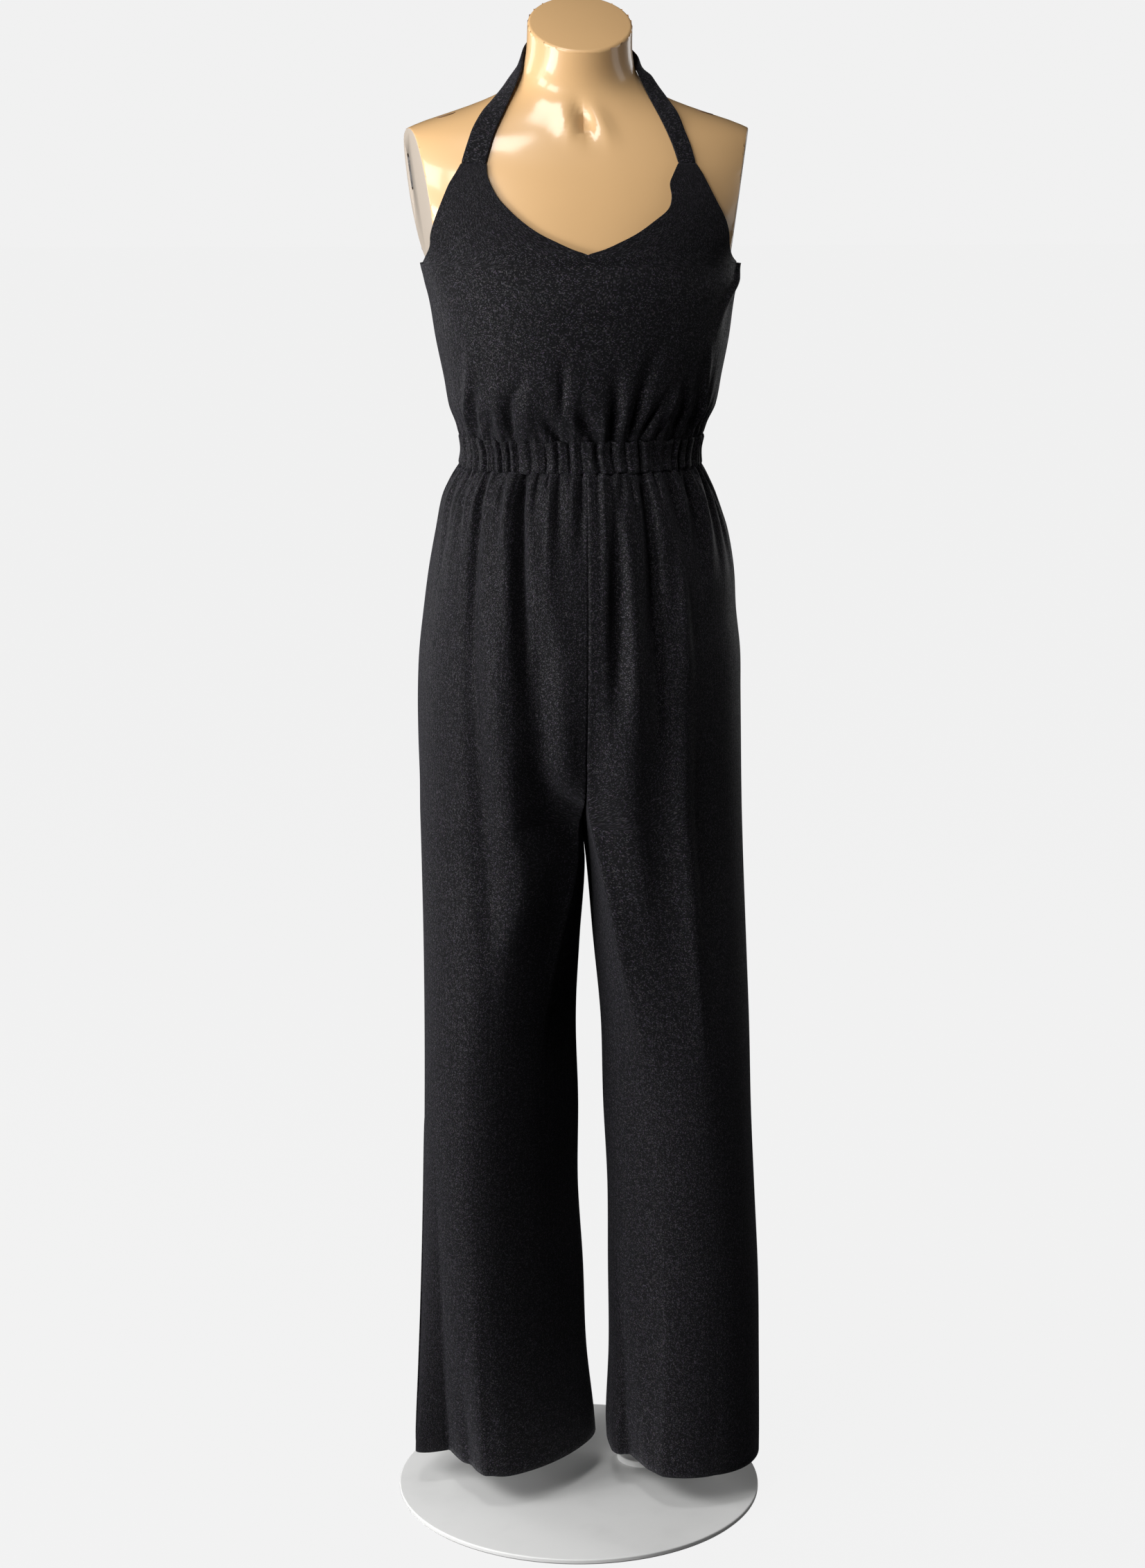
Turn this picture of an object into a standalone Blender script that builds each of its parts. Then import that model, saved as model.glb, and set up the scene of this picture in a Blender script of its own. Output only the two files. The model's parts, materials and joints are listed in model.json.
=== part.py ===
"""Halter-neck jumpsuit with wide legs, worn by a limbless dress form on a stand.

Metres, +Z up. The front faces -Y and +X is the wearer's left. The origin is on the floor, under the
middle of the base plate. Cloth pieces are walls worked out from sections of the body of the garment,
and their gathers and creases come from the short fold tables below.
"""

from collections import namedtuple
from math import cos, exp, pi, radians, sin, tan

import bmesh
import bpy
from mathutils import Vector

# ---------------------------------------------------------------- driving sizes
CLOTH = 0.0018          # wall of the doubled-up knit
SEAM_GAP = 0.0003       # between two sewn pieces
HALF_GAP = SEAM_GAP / 2

HEM_HEIGHT = 0.046
CROTCH_HEIGHT = 0.775
FORK_HEIGHT = 0.845     # where the front and back seams leave the body for the crotch
ROUND_FROM = 0.925      # where each half of the body starts to round off into its leg
BAND_BOTTOM = 1.1415
BAND_TOP = 1.1735
UNDERARM_HEIGHT = 1.348
NECKLINE_LOW = 1.361
CUP_TOP = 1.449
BACK_DIP = 0.014        # how far the back's top edge sinks at its middle

BAND_WAVES = 52         # ruched folds round the elastic waistband
BAND_WAVE_DEPTH = 0.0014
BAND_LEAN = 0.9         # how far a ruched fold leans between the band's edges, in radians of its wave
BAND_DRIFT = 0.9        # how uneven the ruched folds are spaced

STRAP_THICKNESS = 0.0025

SKIN_CLEARANCE = 0.0038  # cloth's outer face over the form's chest
SLEEK_LOW = 1.312        # below this the bodice hangs free, above it settles on the form
SLEEK_HIGH = 1.380

FORM_BOTTOM = 0.850
FORM_TOP = 1.640         # before the tilted neck cap is cut
BUST_HEIGHT = 1.292
BUST_ANGLE = radians(30)
BUST_SPREAD = radians(17)
BUST_REACH = 0.040
BUST_DEPTH = 0.013
ARM_CAP_POINT = (0.1775, 0.046, 1.470)
ARM_CAP_LEAN = radians(7.4)
ARM_CAP_TURN = radians(8)   # how far each cap looks to the front
CUT_ABOVE = 1.325       # the caps only cut the form from the armpit up
NECK_CAP_CENTRE = (-0.010, 1.584)
NECK_CAP_TILT = radians(32)

POLE_RADIUS = 0.011
POLE_PLACE = (0.078, 0.048)
FLANGE_RADIUS = 0.030
FLANGE_HEIGHT = 0.007
SOCKET_RADIUS = 0.017
SOCKET_HEIGHT = 0.030
BASE_RADIUS = 0.200
BASE_THICKNESS = 0.006
BASE_EDGE = 0.0015

# ---------------------------------------------------------------- sections
Section = namedtuple("Section", "height half_width front back squareness")
FORM_SECTIONS = [
    Section(FORM_BOTTOM, 0.150, 0.098, 0.104, 2.25),
    Section(0.900, 0.155, 0.102, 0.111, 2.25),
    Section(0.950, 0.154, 0.102, 0.111, 2.20),
    Section(1.010, 0.146, 0.099, 0.104, 2.15),
    Section(1.070, 0.132, 0.092, 0.093, 2.10),
    Section(1.120, 0.120, 0.086, 0.084, 2.10),
    Section(1.157, 0.1165, 0.0840, 0.0810, 2.10),
    Section(1.200, 0.122, 0.088, 0.084, 2.10),
    Section(1.250, 0.132, 0.096, 0.090, 2.15),
    Section(1.300, 0.142, 0.102, 0.097, 2.20),
    Section(1.335, 0.149, 0.102, 0.101, 2.25),
    Section(1.353, 0.158, 0.101, 0.102, 2.30),
    Section(1.375, 0.172, 0.099, 0.102, 2.30),
    Section(1.410, 0.190, 0.093, 0.101, 2.30),
    Section(1.440, 0.195, 0.084, 0.098, 2.30),
    Section(1.462, 0.194, 0.073, 0.093, 2.25),
    Section(1.476, 0.186, 0.064, 0.088, 2.20),
    Section(1.488, 0.162, 0.056, 0.083, 2.15),
    Section(1.499, 0.129, 0.050, 0.079, 2.10),
    Section(1.510, 0.098, 0.045, 0.075, 2.05),
    Section(1.521, 0.075, 0.043, 0.071, 2.00),
    Section(1.534, 0.061, 0.0445, 0.066, 2.00),
    Section(1.552, 0.0545, 0.0500, 0.059, 2.00),
    Section(1.580, 0.0530, 0.0590, 0.050, 2.00),
    Section(FORM_TOP, 0.0530, 0.0785, 0.0305, 2.00),
]

# The bodice's outer face, with its own reach on each side.
Girth = namedtuple("Girth", "height right left front back")
BODICE_SECTIONS = [
    Girth(1.1738, 0.1245, 0.1280, 0.0930, 0.0890),
    Girth(1.186, 0.1280, 0.1320, 0.1010, 0.0950),
    Girth(1.204, 0.1350, 0.1405, 0.1100, 0.1010),
    Girth(1.235, 0.1405, 0.1460, 0.1160, 0.1040),
    Girth(1.272, 0.1480, 0.1530, 0.1200, 0.1060),
    Girth(1.314, 0.1550, 0.1590, 0.1205, 0.1070),
    Girth(1.332, 0.1615, 0.1655, 0.1165, 0.1065),
    Girth(1.348, 0.1685, 0.1640, 0.1130, 0.1060),
    Girth(1.400, 0.1760, 0.1740, 0.1040, 0.1060),
]
BAND_SECTIONS = [
    Girth(BAND_BOTTOM, 0.1245, 0.1262, 0.0930, 0.0900),
    Girth(1.157, 0.1222, 0.1255, 0.0905, 0.0875),
    Girth(BAND_TOP, 0.1242, 0.1285, 0.0925, 0.0890),
]
HIP_SECTIONS = [
    Girth(0.775, 0.169, 0.174, 0.106, 0.112),
    Girth(0.812, 0.169, 0.173, 0.1105, 0.1165),
    Girth(0.857, 0.170, 0.172, 0.1160, 0.1220),
    Girth(0.902, 0.170, 0.171, 0.120, 0.126),
    Girth(0.946, 0.168, 0.170, 0.121, 0.127),
    Girth(0.990, 0.163, 0.165, 0.120, 0.124),
    Girth(1.034, 0.157, 0.162, 0.117, 0.118),
    Girth(1.077, 0.149, 0.154, 0.112, 0.110),
    Girth(1.110, 0.1420, 0.1430, 0.105, 0.102),
    Girth(1.128, 0.1335, 0.1345, 0.099, 0.096),
    Girth(1.1415, 0.1255, 0.1265, 0.0935, 0.0905),
]

# One leg: distances from the centre plane, out to its own side. A minus inner crosses the plane.
Leg = namedtuple("Leg", "height inner outer front back skew roundness")
RIGHT_LEG = [
    Leg(0.046, -0.022, 0.182, 0.083, 0.116, 0.018, 1.00),
    Leg(0.072, -0.020, 0.181, 0.082, 0.116, 0.018, 1.00),
    Leg(0.154, -0.011, 0.177, 0.082, 0.112, 0.014, 1.00),
    Leg(0.252, -0.007, 0.173, 0.083, 0.108, 0.011, 1.00),
    Leg(0.348, -0.001, 0.170, 0.084, 0.105, 0.008, 1.00),
    Leg(0.443, -0.001, 0.168, 0.086, 0.103, 0.005, 1.00),
    Leg(0.537, 0.002, 0.167, 0.089, 0.102, 0.003, 0.95),
    Leg(0.630, -0.001, 0.167, 0.094, 0.103, 0.000, 0.75),
    Leg(0.721, -0.006, 0.168, 0.0995, 0.1055, 0.000, 0.42),
    Leg(0.775, 0.000, 0.169, 0.106, 0.112, 0.000, 0.25),
]
LEFT_LEG = [
    Leg(0.046, 0.033, 0.200, 0.092, 0.097, 0.010, 1.00),
    Leg(0.072, 0.032, 0.200, 0.091, 0.097, 0.010, 1.00),
    Leg(0.154, 0.035, 0.199, 0.088, 0.096, 0.008, 1.00),
    Leg(0.252, 0.034, 0.197, 0.086, 0.095, 0.006, 1.00),
    Leg(0.348, 0.033, 0.192, 0.086, 0.095, 0.004, 1.00),
    Leg(0.443, 0.028, 0.187, 0.087, 0.096, 0.002, 1.00),
    Leg(0.537, 0.025, 0.184, 0.090, 0.098, 0.000, 0.90),
    Leg(0.630, 0.016, 0.180, 0.095, 0.101, 0.000, 0.70),
    Leg(0.721, 0.009, 0.1762, 0.0995, 0.1055, 0.000, 0.42),
    Leg(0.775, 0.000, 0.174, 0.106, 0.112, 0.000, 0.25),
]

# The bodice front's open edges, as distances from the centre plane to each side.
Edge = namedtuple("Edge", "height right left")
NECKLINE = [
    Edge(1.361, 0.0000, 0.0000),
    Edge(1.3655, 0.0140, 0.0160),
    Edge(1.371, 0.0266, 0.0290),
    Edge(1.381, 0.0471, 0.0495),
    Edge(1.3925, 0.0639, 0.0665),
    Edge(1.4045, 0.0773, 0.0815),
    Edge(1.4165, 0.0880, 0.0852),
    Edge(1.430, 0.0952, 0.0838),
    Edge(1.440, 0.0983, 0.0880),
    Edge(1.449, 0.0986, 0.0925),
]
ARMHOLE = [
    Edge(1.348, 0.1620, 0.1605),
    Edge(1.356, 0.1590, 0.1520),
    Edge(1.367, 0.1550, 0.1475),
    Edge(1.378, 0.1545, 0.1462),
    Edge(1.388, 0.1522, 0.1439),
    Edge(1.399, 0.1485, 0.1392),
    Edge(1.409, 0.1446, 0.1336),
    Edge(1.419, 0.1405, 0.1281),
    Edge(1.4295, 0.1357, 0.1226),
    Edge(1.4395, 0.1294, 0.1172),
    Edge(1.449, 0.1237, 0.1110),
]

# ---------------------------------------------------------------- folds
# Angles in degrees round the body: 0 at the middle of the front, 90 at a side, 180 behind. A fold is
# deepest at its root and gone at its tip. A minus depth is a ridge that stands out.
Fold = namedtuple("Fold", "root_angle tip_angle root_height tip_height spread depth")

RIGHT_TROUSER_FOLDS = [
    Fold(5, 8, 1.141, 1.000, 2.4, 0.0030),
    Fold(16, 13, 1.141, 0.955, 2.6, 0.0036),
    Fold(24.5, 23, 1.141, 1.055, 2.0, 0.0026),
    Fold(34, 18, 1.141, 0.760, 3.4, 0.0070),
    Fold(43, 42, 1.141, 1.060, 2.2, 0.0028),
    Fold(53, 48, 1.141, 1.010, 2.8, 0.0044),
    Fold(65, 62, 1.141, 1.070, 2.4, 0.0026),
    Fold(76, 73, 1.141, 1.030, 2.6, 0.0030),
    Fold(87, 86, 1.141, 1.060, 2.6, 0.0026),
    Fold(98, 101, 1.141, 1.010, 2.8, 0.0036),
    Fold(109, 110, 1.141, 1.070, 2.4, 0.0026),
    Fold(121, 128, 1.141, 0.960, 3.2, 0.0052),
    Fold(133, 134, 1.141, 1.060, 2.4, 0.0030),
    Fold(145, 151, 1.141, 0.900, 3.4, 0.0060),
    Fold(157, 157, 1.141, 1.050, 2.4, 0.0028),
    Fold(169, 167, 1.141, 0.990, 2.8, 0.0036),
    Fold(120, 128, 0.046, 0.600, 10.0, 0.0090),
    Fold(168, 158, 0.046, 0.660, 9.0, 0.0080),
]
LEFT_TROUSER_FOLDS = [
    Fold(4.5, 6, 1.141, 0.930, 2.5, 0.0036),
    Fold(14, 13, 1.141, 1.050, 2.2, 0.0030),
    Fold(25, 20, 1.141, 0.830, 4.2, 0.0070),
    Fold(36, 34, 1.141, 1.070, 2.2, 0.0026),
    Fold(49, 43, 1.141, 0.975, 3.2, 0.0046),
    Fold(61, 57, 1.141, 1.040, 2.6, 0.0034),
    Fold(74, 68, 1.141, 1.000, 3.0, 0.0036),
    Fold(86, 85, 1.141, 1.070, 2.4, 0.0028),
    Fold(97, 99, 1.141, 1.020, 2.8, 0.0034),
    Fold(110, 112, 1.141, 1.060, 2.6, 0.0030),
    Fold(122, 131, 1.141, 0.930, 3.4, 0.0056),
    Fold(135, 136, 1.141, 1.050, 2.4, 0.0030),
    Fold(147, 150, 1.141, 0.980, 2.8, 0.0044),
    Fold(160, 163, 1.141, 0.880, 3.6, 0.0058),
    Fold(171, 170, 1.141, 1.060, 2.4, 0.0030),
    Fold(112, 106, 0.046, 0.560, 10.0, 0.0080),
    Fold(160, 168, 0.046, 0.640, 9.0, 0.0090),
]
# Deep tucks beside the hem, by their turn round the leg in degrees: 0 at the outer side, -90 at the
# front, 90 behind and 180 at the inner side. Each falls away over its own reach towards either side.
Tuck = namedtuple("Tuck", "hem_turn tip_turn tip_height outer_reach inner_reach depth")
RIGHT_TUCKS = [
    Tuck(-51, -22, 0.520, 51, 40, 0.0700),
    Tuck(128, 140, 0.420, 34, 40, 0.0260),
]
LEFT_TUCKS = [
    Tuck(-138, -165, 0.360, 14, 24, 0.0200),
    Tuck(-113, -108, 0.420, 40, 22, -0.0120),
    Tuck(-167, -172, 0.300, 22, 14, -0.0140),
    Tuck(52, 40, 0.460, 40, 34, 0.0300),
]
# The dip beside the front seam, over the last hand's breadth above the crotch.
SEAM_DIPS = [
    Fold(0, 0, 0.775, 0.930, 4.5, 0.0060),
]
# Signed angles: minus is the wearer's right.
BODICE_FOLDS = [
    Fold(-83, -81, 1.174, 1.215, 2.6, 0.0026),
    Fold(-69, -66, 1.174, 1.255, 3.0, 0.0042),
    Fold(-56, -55, 1.174, 1.205, 2.4, 0.0028),
    Fold(-47, -38, 1.174, 1.240, 2.8, 0.0048),
    Fold(-34, -33, 1.174, 1.203, 2.4, 0.0028),
    Fold(-21.5, -19, 1.174, 1.212, 3.2, 0.0050),
    Fold(-7, -10, 1.174, 1.228, 3.0, 0.0050),
    Fold(6.5, 6.5, 1.174, 1.252, 3.6, 0.0058),
    Fold(17, 27, 1.174, 1.275, 3.2, 0.0058),
    Fold(26, 35, 1.174, 1.225, 2.4, 0.0034),
    Fold(36, 45, 1.174, 1.240, 2.8, 0.0042),
    Fold(50, 57, 1.174, 1.282, 3.2, 0.0052),
    Fold(63, 67, 1.174, 1.258, 2.8, 0.0036),
    Fold(77, 78, 1.174, 1.228, 2.6, 0.0030),
    Fold(92, 91, 1.174, 1.235, 2.8, 0.0034),
    Fold(106, 104, 1.174, 1.215, 2.6, 0.0030),
    Fold(119, 116, 1.174, 1.262, 3.0, 0.0046),
    Fold(133, 133, 1.174, 1.220, 2.6, 0.0034),
    Fold(147, 150, 1.174, 1.250, 3.2, 0.0048),
    Fold(162, 162, 1.174, 1.215, 2.8, 0.0032),
    Fold(176, 178, 1.174, 1.262, 3.2, 0.0050),
    Fold(-168, -166, 1.174, 1.222, 2.8, 0.0034),
    Fold(-153, -157, 1.174, 1.258, 3.2, 0.0050),
    Fold(-139, -138, 1.174, 1.218, 2.6, 0.0032),
    Fold(-125, -120, 1.174, 1.248, 3.0, 0.0044),
    Fold(-111, -112, 1.174, 1.212, 2.6, 0.0030),
    Fold(-97, -95, 1.174, 1.236, 2.8, 0.0034),
]
PINCH = 0.42            # what a gather keeps of its depth where it is sewn to the band
PINCH_REACH = 0.026

# The strap's middle line, the way its face looks and its width, from the wearer's right cup round the
# nape to the left one.
Station = namedtuple("Station", "x y z face_x face_y face_z width")
STRAP_ROUTE = [
    Station(-0.1112, -0.0716, 1.4493, -0.22, -0.93, 0.28, 0.0246),
    Station(-0.1045, -0.0615, 1.4696, -0.18, -0.80, 0.57, 0.0240),
    Station(-0.0990, -0.0518, 1.4831, -0.18, -0.71, 0.68, 0.0240),
    Station(-0.0900, -0.0390, 1.4985, -0.22, -0.62, 0.76, 0.0230),
    Station(-0.0805, -0.0235, 1.5117, -0.42, -0.45, 0.79, 0.0220),
    Station(-0.0703, -0.0080, 1.5268, -0.63, -0.32, 0.71, 0.0205),
    Station(-0.0635, 0.0030, 1.5383, -0.75, -0.19, 0.64, 0.0185),
    Station(-0.0586, 0.0135, 1.5470, -0.95, 0.15, 0.28, 0.0195),
    Station(-0.0526, 0.0247, 1.5565, -0.93, 0.31, 0.21, 0.0240),
    Station(-0.0405, 0.0413, 1.5620, -0.74, 0.63, 0.24, 0.0240),
    Station(-0.0216, 0.0521, 1.5660, -0.41, 0.87, 0.28, 0.0240),
    Station(0.0000, 0.0561, 1.5670, 0.00, 0.95, 0.30, 0.0240),
    Station(0.0216, 0.0526, 1.5645, 0.41, 0.87, 0.29, 0.0235),
    Station(0.0406, 0.0418, 1.5600, 0.73, 0.63, 0.26, 0.0225),
    Station(0.0529, 0.0256, 1.5535, 0.92, 0.30, 0.24, 0.0215),
    Station(0.0608, 0.0125, 1.5457, 0.93, 0.10, 0.34, 0.0195),
    Station(0.0649, -0.0035, 1.5370, 0.54, -0.39, 0.74, 0.0185),
    Station(0.0724, -0.0160, 1.5223, 0.39, -0.56, 0.73, 0.0200),
    Station(0.0805, -0.0315, 1.5071, 0.19, -0.63, 0.75, 0.0205),
    Station(0.0868, -0.0445, 1.4947, 0.09, -0.72, 0.69, 0.0205),
    Station(0.0924, -0.0564, 1.4798, 0.16, -0.74, 0.65, 0.0195),
    Station(0.0972, -0.0652, 1.4663, 0.16, -0.82, 0.54, 0.0190),
    Station(0.1018, -0.0735, 1.4493, 0.19, -0.93, 0.28, 0.0183),
]

# ---------------------------------------------------------------- mesh densities
FORM_COLUMNS = 26
FORM_HEIGHTS = [FORM_BOTTOM, 0.890, 0.940, 0.990, 1.040, 1.085, 1.120, 1.157, 1.190, 1.225, 1.260, 1.290,
                1.315, 1.336, 1.350, 1.364, 1.382, 1.405, 1.430, 1.450, 1.465, 1.476, 1.485, 1.493,
                1.501, 1.509, 1.518, 1.528, 1.542, 1.562, 1.590, FORM_TOP]
FRONT_COLUMNS = 40
FRONT_HEIGHTS = [BAND_TOP + SEAM_GAP, 1.182, 1.192, 1.206, 1.225, 1.250, 1.282, 1.316,
                 UNDERARM_HEIGHT, 1.352, 1.3565, NECKLINE_LOW, 1.3655, 1.371, 1.381, 1.3925,
                 1.4045, 1.4165, 1.430, CUP_TOP]
BACK_COLUMNS = 32
BACK_HEIGHTS = [BAND_TOP + SEAM_GAP, 1.182, 1.192, 1.206, 1.228, 1.260, 1.302, UNDERARM_HEIGHT]
BAND_COLUMNS = 3 * BAND_WAVES // 2
BAND_ROWS = 2
TROUSER_COLUMNS = 22
HIP_HEIGHTS = [BAND_BOTTOM - SEAM_GAP, 1.126, 1.100, 1.062, 1.010, 0.950, 0.895, FORK_HEIGHT]
FORK_STEPS = 5
LEG_HEIGHTS = [0.735, 0.665, 0.580, 0.480, 0.375, 0.275, 0.185, 0.110, HEM_HEIGHT]
STRAP_STATIONS = 44
ROUND_SEGMENTS = 24


# ---------------------------------------------------------------- helpers
def smooth_step(low, high, value):
    """0 below low, 1 above high and a soft rise between."""
    part = min(max((value - low) / (high - low), 0.0), 1.0)
    return part * part * (3 - 2 * part)


def read_table(rows, column, height):
    """A smooth curve through one column of a table whose rows run up in height."""
    if height <= rows[0].height:
        return getattr(rows[0], column)
    if height >= rows[-1].height:
        return getattr(rows[-1], column)
    index = next(i for i in range(len(rows) - 1) if height <= rows[i + 1].height)
    step = rows[index + 1].height - rows[index].height
    part = (height - rows[index].height) / step

    def slope(i):
        before, after = rows[max(i - 1, 0)], rows[min(i + 1, len(rows) - 1)]
        return (getattr(after, column) - getattr(before, column)) / (after.height - before.height)

    start, end = getattr(rows[index], column), getattr(rows[index + 1], column)
    start_pull, end_pull = slope(index) * step, slope(index + 1) * step
    return (
        start * (1 + 2 * part) * (1 - part) ** 2
        + start_pull * part * (1 - part) ** 2
        + end * part**2 * (3 - 2 * part)
        - end_pull * part**2 * (1 - part)
    )


def power_sine(angle, squareness):
    """A sine with the sharper or rounder shoulders of a superellipse."""
    value = sin(angle)
    return abs(value) ** (2 / squareness) * (1 if value >= 0 else -1)


def fold_depth(folds, angle, height, wrap=False):
    """How far all the folds of a table push the cloth in at one place."""
    depth = 0.0
    for fold in folds:
        along = (height - fold.root_height) / (fold.tip_height - fold.root_height)
        if along >= 1:
            continue
        along = max(along, 0.0)
        centre = fold.root_angle + (fold.tip_angle - fold.root_angle) * along
        away = angle - centre
        if wrap:
            away = (away + 180) % 360 - 180
        across = exp(-((away / (fold.spread * (1 + along))) ** 2))
        depth += fold.depth * across * (1 - smooth_step(0.1, 1.0, along))
    return depth


def pinch(height, sewn_height):
    """What is left of a gather's depth near the seam that draws it in."""
    return PINCH + (1 - PINCH) * smooth_step(0, PINCH_REACH, abs(height - sewn_height))


def make_material(name, colour, roughness, metallic=0.0):
    """A plain Principled material."""
    material = bpy.data.materials.new(name)
    material.use_nodes = True
    shader = material.node_tree.nodes["Principled BSDF"]
    shader.inputs["Base Color"].default_value = (*colour, 1)
    shader.inputs["Roughness"].default_value = roughness
    shader.inputs["Metallic"].default_value = metallic
    return material


def add_object(collection, name, bm, material):
    """Write a bmesh to a named, smooth-shaded object."""
    mesh = bpy.data.meshes.new(name)
    bm.to_mesh(mesh)
    bm.free()
    mesh.materials.append(material)
    mesh.shade_smooth()
    mesh.set_sharp_from_angle(angle=radians(50))
    item = bpy.data.objects.new(name, mesh)
    collection.objects.link(item)
    return item


def lay_grid(bm, columns, rows, place):
    """Add a grid whose points come from place(u, row), with u from 0 to 1.

    place returns a point and the way in through the cloth, which the wall step reads.
    """
    inward = bm.verts.layers.float_vector["inward"]
    grid = bmesh.ops.create_grid(bm, x_segments=columns, y_segments=rows, size=1)
    for vert in grid["verts"]:
        across = (vert.co.x + 1) / 2
        row = round((vert.co.y + 1) / 2 * rows)
        vert.co, vert[inward] = place(across, row)


def thicken(bm):
    """Close an open cloth face into a wall, from each point along its own way in."""
    inward = bm.verts.layers.float_vector["inward"]
    everything = bm.verts[:] + bm.edges[:] + bm.faces[:]
    moved = bmesh.ops.extrude_face_region(bm, geom=everything, use_keep_orig=True)
    for item in moved["geom"]:
        if isinstance(item, bmesh.types.BMVert):
            item.co += item[inward]
    bmesh.ops.recalc_face_normals(bm, faces=bm.faces)


def new_cloth():
    """A bmesh ready for lay_grid and thicken."""
    bm = bmesh.new()
    bm.verts.layers.float_vector.new("inward")
    return bm


# ---------------------------------------------------------------- dress form
def form_point(angle, height, clearance=0.0):
    """A point on the dress form, by its angle from the front, and the level way out of it."""
    half_width = read_table(FORM_SECTIONS, "half_width", height) + clearance
    front = read_table(FORM_SECTIONS, "front", height) + clearance
    back = read_table(FORM_SECTIONS, "back", height) + clearance
    squareness = read_table(FORM_SECTIONS, "squareness", height)
    depth = (front + back) / 2
    x = half_width * power_sine(angle, squareness)
    y = (back - front) / 2 - depth * power_sine(pi / 2 - angle, squareness)
    lift = exp(-(((height - BUST_HEIGHT) / BUST_REACH) ** 2))
    for side in (-1, 1):
        y -= BUST_DEPTH * lift * exp(-(((angle - side * BUST_ANGLE) / BUST_SPREAD) ** 2))
    return Vector((x, y, height))


def cut_flat(bm, point, normal):
    """Cut a closed solid's shoulders with a plane, take off what lies beyond it, close the cut."""
    faces = [face for face in bm.faces if face.calc_center_median().z > CUT_ABOVE]
    upper = {item for face in faces for item in (*face.verts, *face.edges, face)}
    cut = bmesh.ops.bisect_plane(
        bm, geom=list(upper), dist=1e-6, plane_co=point, plane_no=normal, clear_outer=True
    )
    rim = [item for item in cut["geom_cut"] if isinstance(item, bmesh.types.BMEdge)]
    bmesh.ops.holes_fill(bm, edges=rim)


def make_form(collection, material):
    """The limbless torso with flat arm caps and a tilted neck cap."""
    bm = bmesh.new()
    rows = len(FORM_HEIGHTS) - 1
    grid = bmesh.ops.create_grid(bm, x_segments=FORM_COLUMNS, y_segments=rows, size=1)
    for vert in grid["verts"]:
        angle = pi * vert.co.x
        height = FORM_HEIGHTS[round((vert.co.y + 1) / 2 * rows)]
        vert.co = form_point(angle, height)
    bmesh.ops.remove_doubles(bm, verts=bm.verts, dist=1e-5)
    bmesh.ops.holes_fill(bm, edges=[edge for edge in bm.edges if edge.is_boundary])
    bmesh.ops.recalc_face_normals(bm, faces=bm.faces)
    for side in (-1, 1):
        x, y, z = ARM_CAP_POINT
        lean = Vector((side * cos(ARM_CAP_TURN), -sin(ARM_CAP_TURN), -tan(ARM_CAP_LEAN)))
        cut_flat(bm, Vector((side * x, y, z)), lean.normalized())
    neck = Vector((0, NECK_CAP_CENTRE[0], NECK_CAP_CENTRE[1]))
    cut_flat(bm, neck, Vector((0, -sin(NECK_CAP_TILT), cos(NECK_CAP_TILT))))
    return add_object(collection, "form_torso", bm, material)


# ---------------------------------------------------------------- bodice and waistband
def girth_point(rows, angle, height, squareness=2.15):
    """A point on an outer section whose two sides reach their own widths."""
    side = "left" if sin(angle) >= 0 else "right"
    half_width = read_table(rows, side, height)
    front, back = read_table(rows, "front", height), read_table(rows, "back", height)
    x = half_width * power_sine(angle, squareness)
    y = (back - front) / 2 - (front + back) / 2 * power_sine(pi / 2 - angle, squareness)
    return Vector((x, y, height))


def way_out(curve, angle):
    """The level outward normal of a section curve at an angle."""
    step = 0.01
    along = curve(angle + step) - curve(angle - step)
    return Vector((along.y, -along.x, 0)).normalized()


def bodice_point(angle, height):
    """The bodice's outer face without its folds: free below, settled on the chest above."""
    hanging = girth_point(BODICE_SECTIONS, angle, height)
    settled = form_point(angle, height, SKIN_CLEARANCE)
    return hanging.lerp(settled, smooth_step(SLEEK_LOW, SLEEK_HIGH, height))


def bodice_place(angle, height, seam=None):
    """A bodice point with its folds, and its way in; seam names the side a seam edge looks to."""
    base = bodice_point(angle, height)
    if seam is None:
        out = way_out(lambda a: bodice_point(a, height), angle)
    else:
        out = Vector((seam, 0, 0))
    depth = fold_depth(BODICE_FOLDS, angle * 180 / pi, height, wrap=True)
    return base - out * depth * pinch(height, BAND_TOP), -out * CLOTH


def angle_at(x, height):
    """The angle of the bodice's front at a distance from the centre plane."""
    low, high = 0.0, pi / 2
    side = 1 if x >= 0 else -1
    for _ in range(40):
        middle = (low + high) / 2
        if bodice_point(side * middle, height).x * side < abs(x):
            low = middle
        else:
            high = middle
    return side * low


def front_edges(side, height):
    """The inner and outer angle of one half of the bodice front at a height."""
    column = "left" if side > 0 else "right"
    if height <= NECKLINE_LOW:
        inner = 0.0
    else:
        inner = angle_at(side * read_table(NECKLINE, column, height), height)
    if height <= UNDERARM_HEIGHT:
        outer = side * pi / 2
    else:
        outer = angle_at(side * read_table(ARMHOLE, column, height), height)
    return inner, outer


def make_bodice_front(collection, material):
    """Both halter cups and the front body, one piece that parts at the neckline."""
    bm = new_cloth()
    heights = FRONT_HEIGHTS

    def half(side):
        def place(across, row):
            height = heights[row]
            inner, outer = front_edges(side, height)
            part = across if side > 0 else 1 - across
            angle = inner + (outer - inner) * part
            on_seam = part > 0.999 and height <= UNDERARM_HEIGHT
            point, inward = bodice_place(angle, height, side if on_seam else None)
            point.y -= HALF_GAP
            return point, inward

        return place

    for side in (-1, 1):
        lay_grid(bm, FRONT_COLUMNS // 2, len(heights) - 1, half(side))
    bmesh.ops.remove_doubles(bm, verts=bm.verts, dist=1e-6)
    thicken(bm)
    return add_object(collection, "bodice_front", bm, material)


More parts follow.
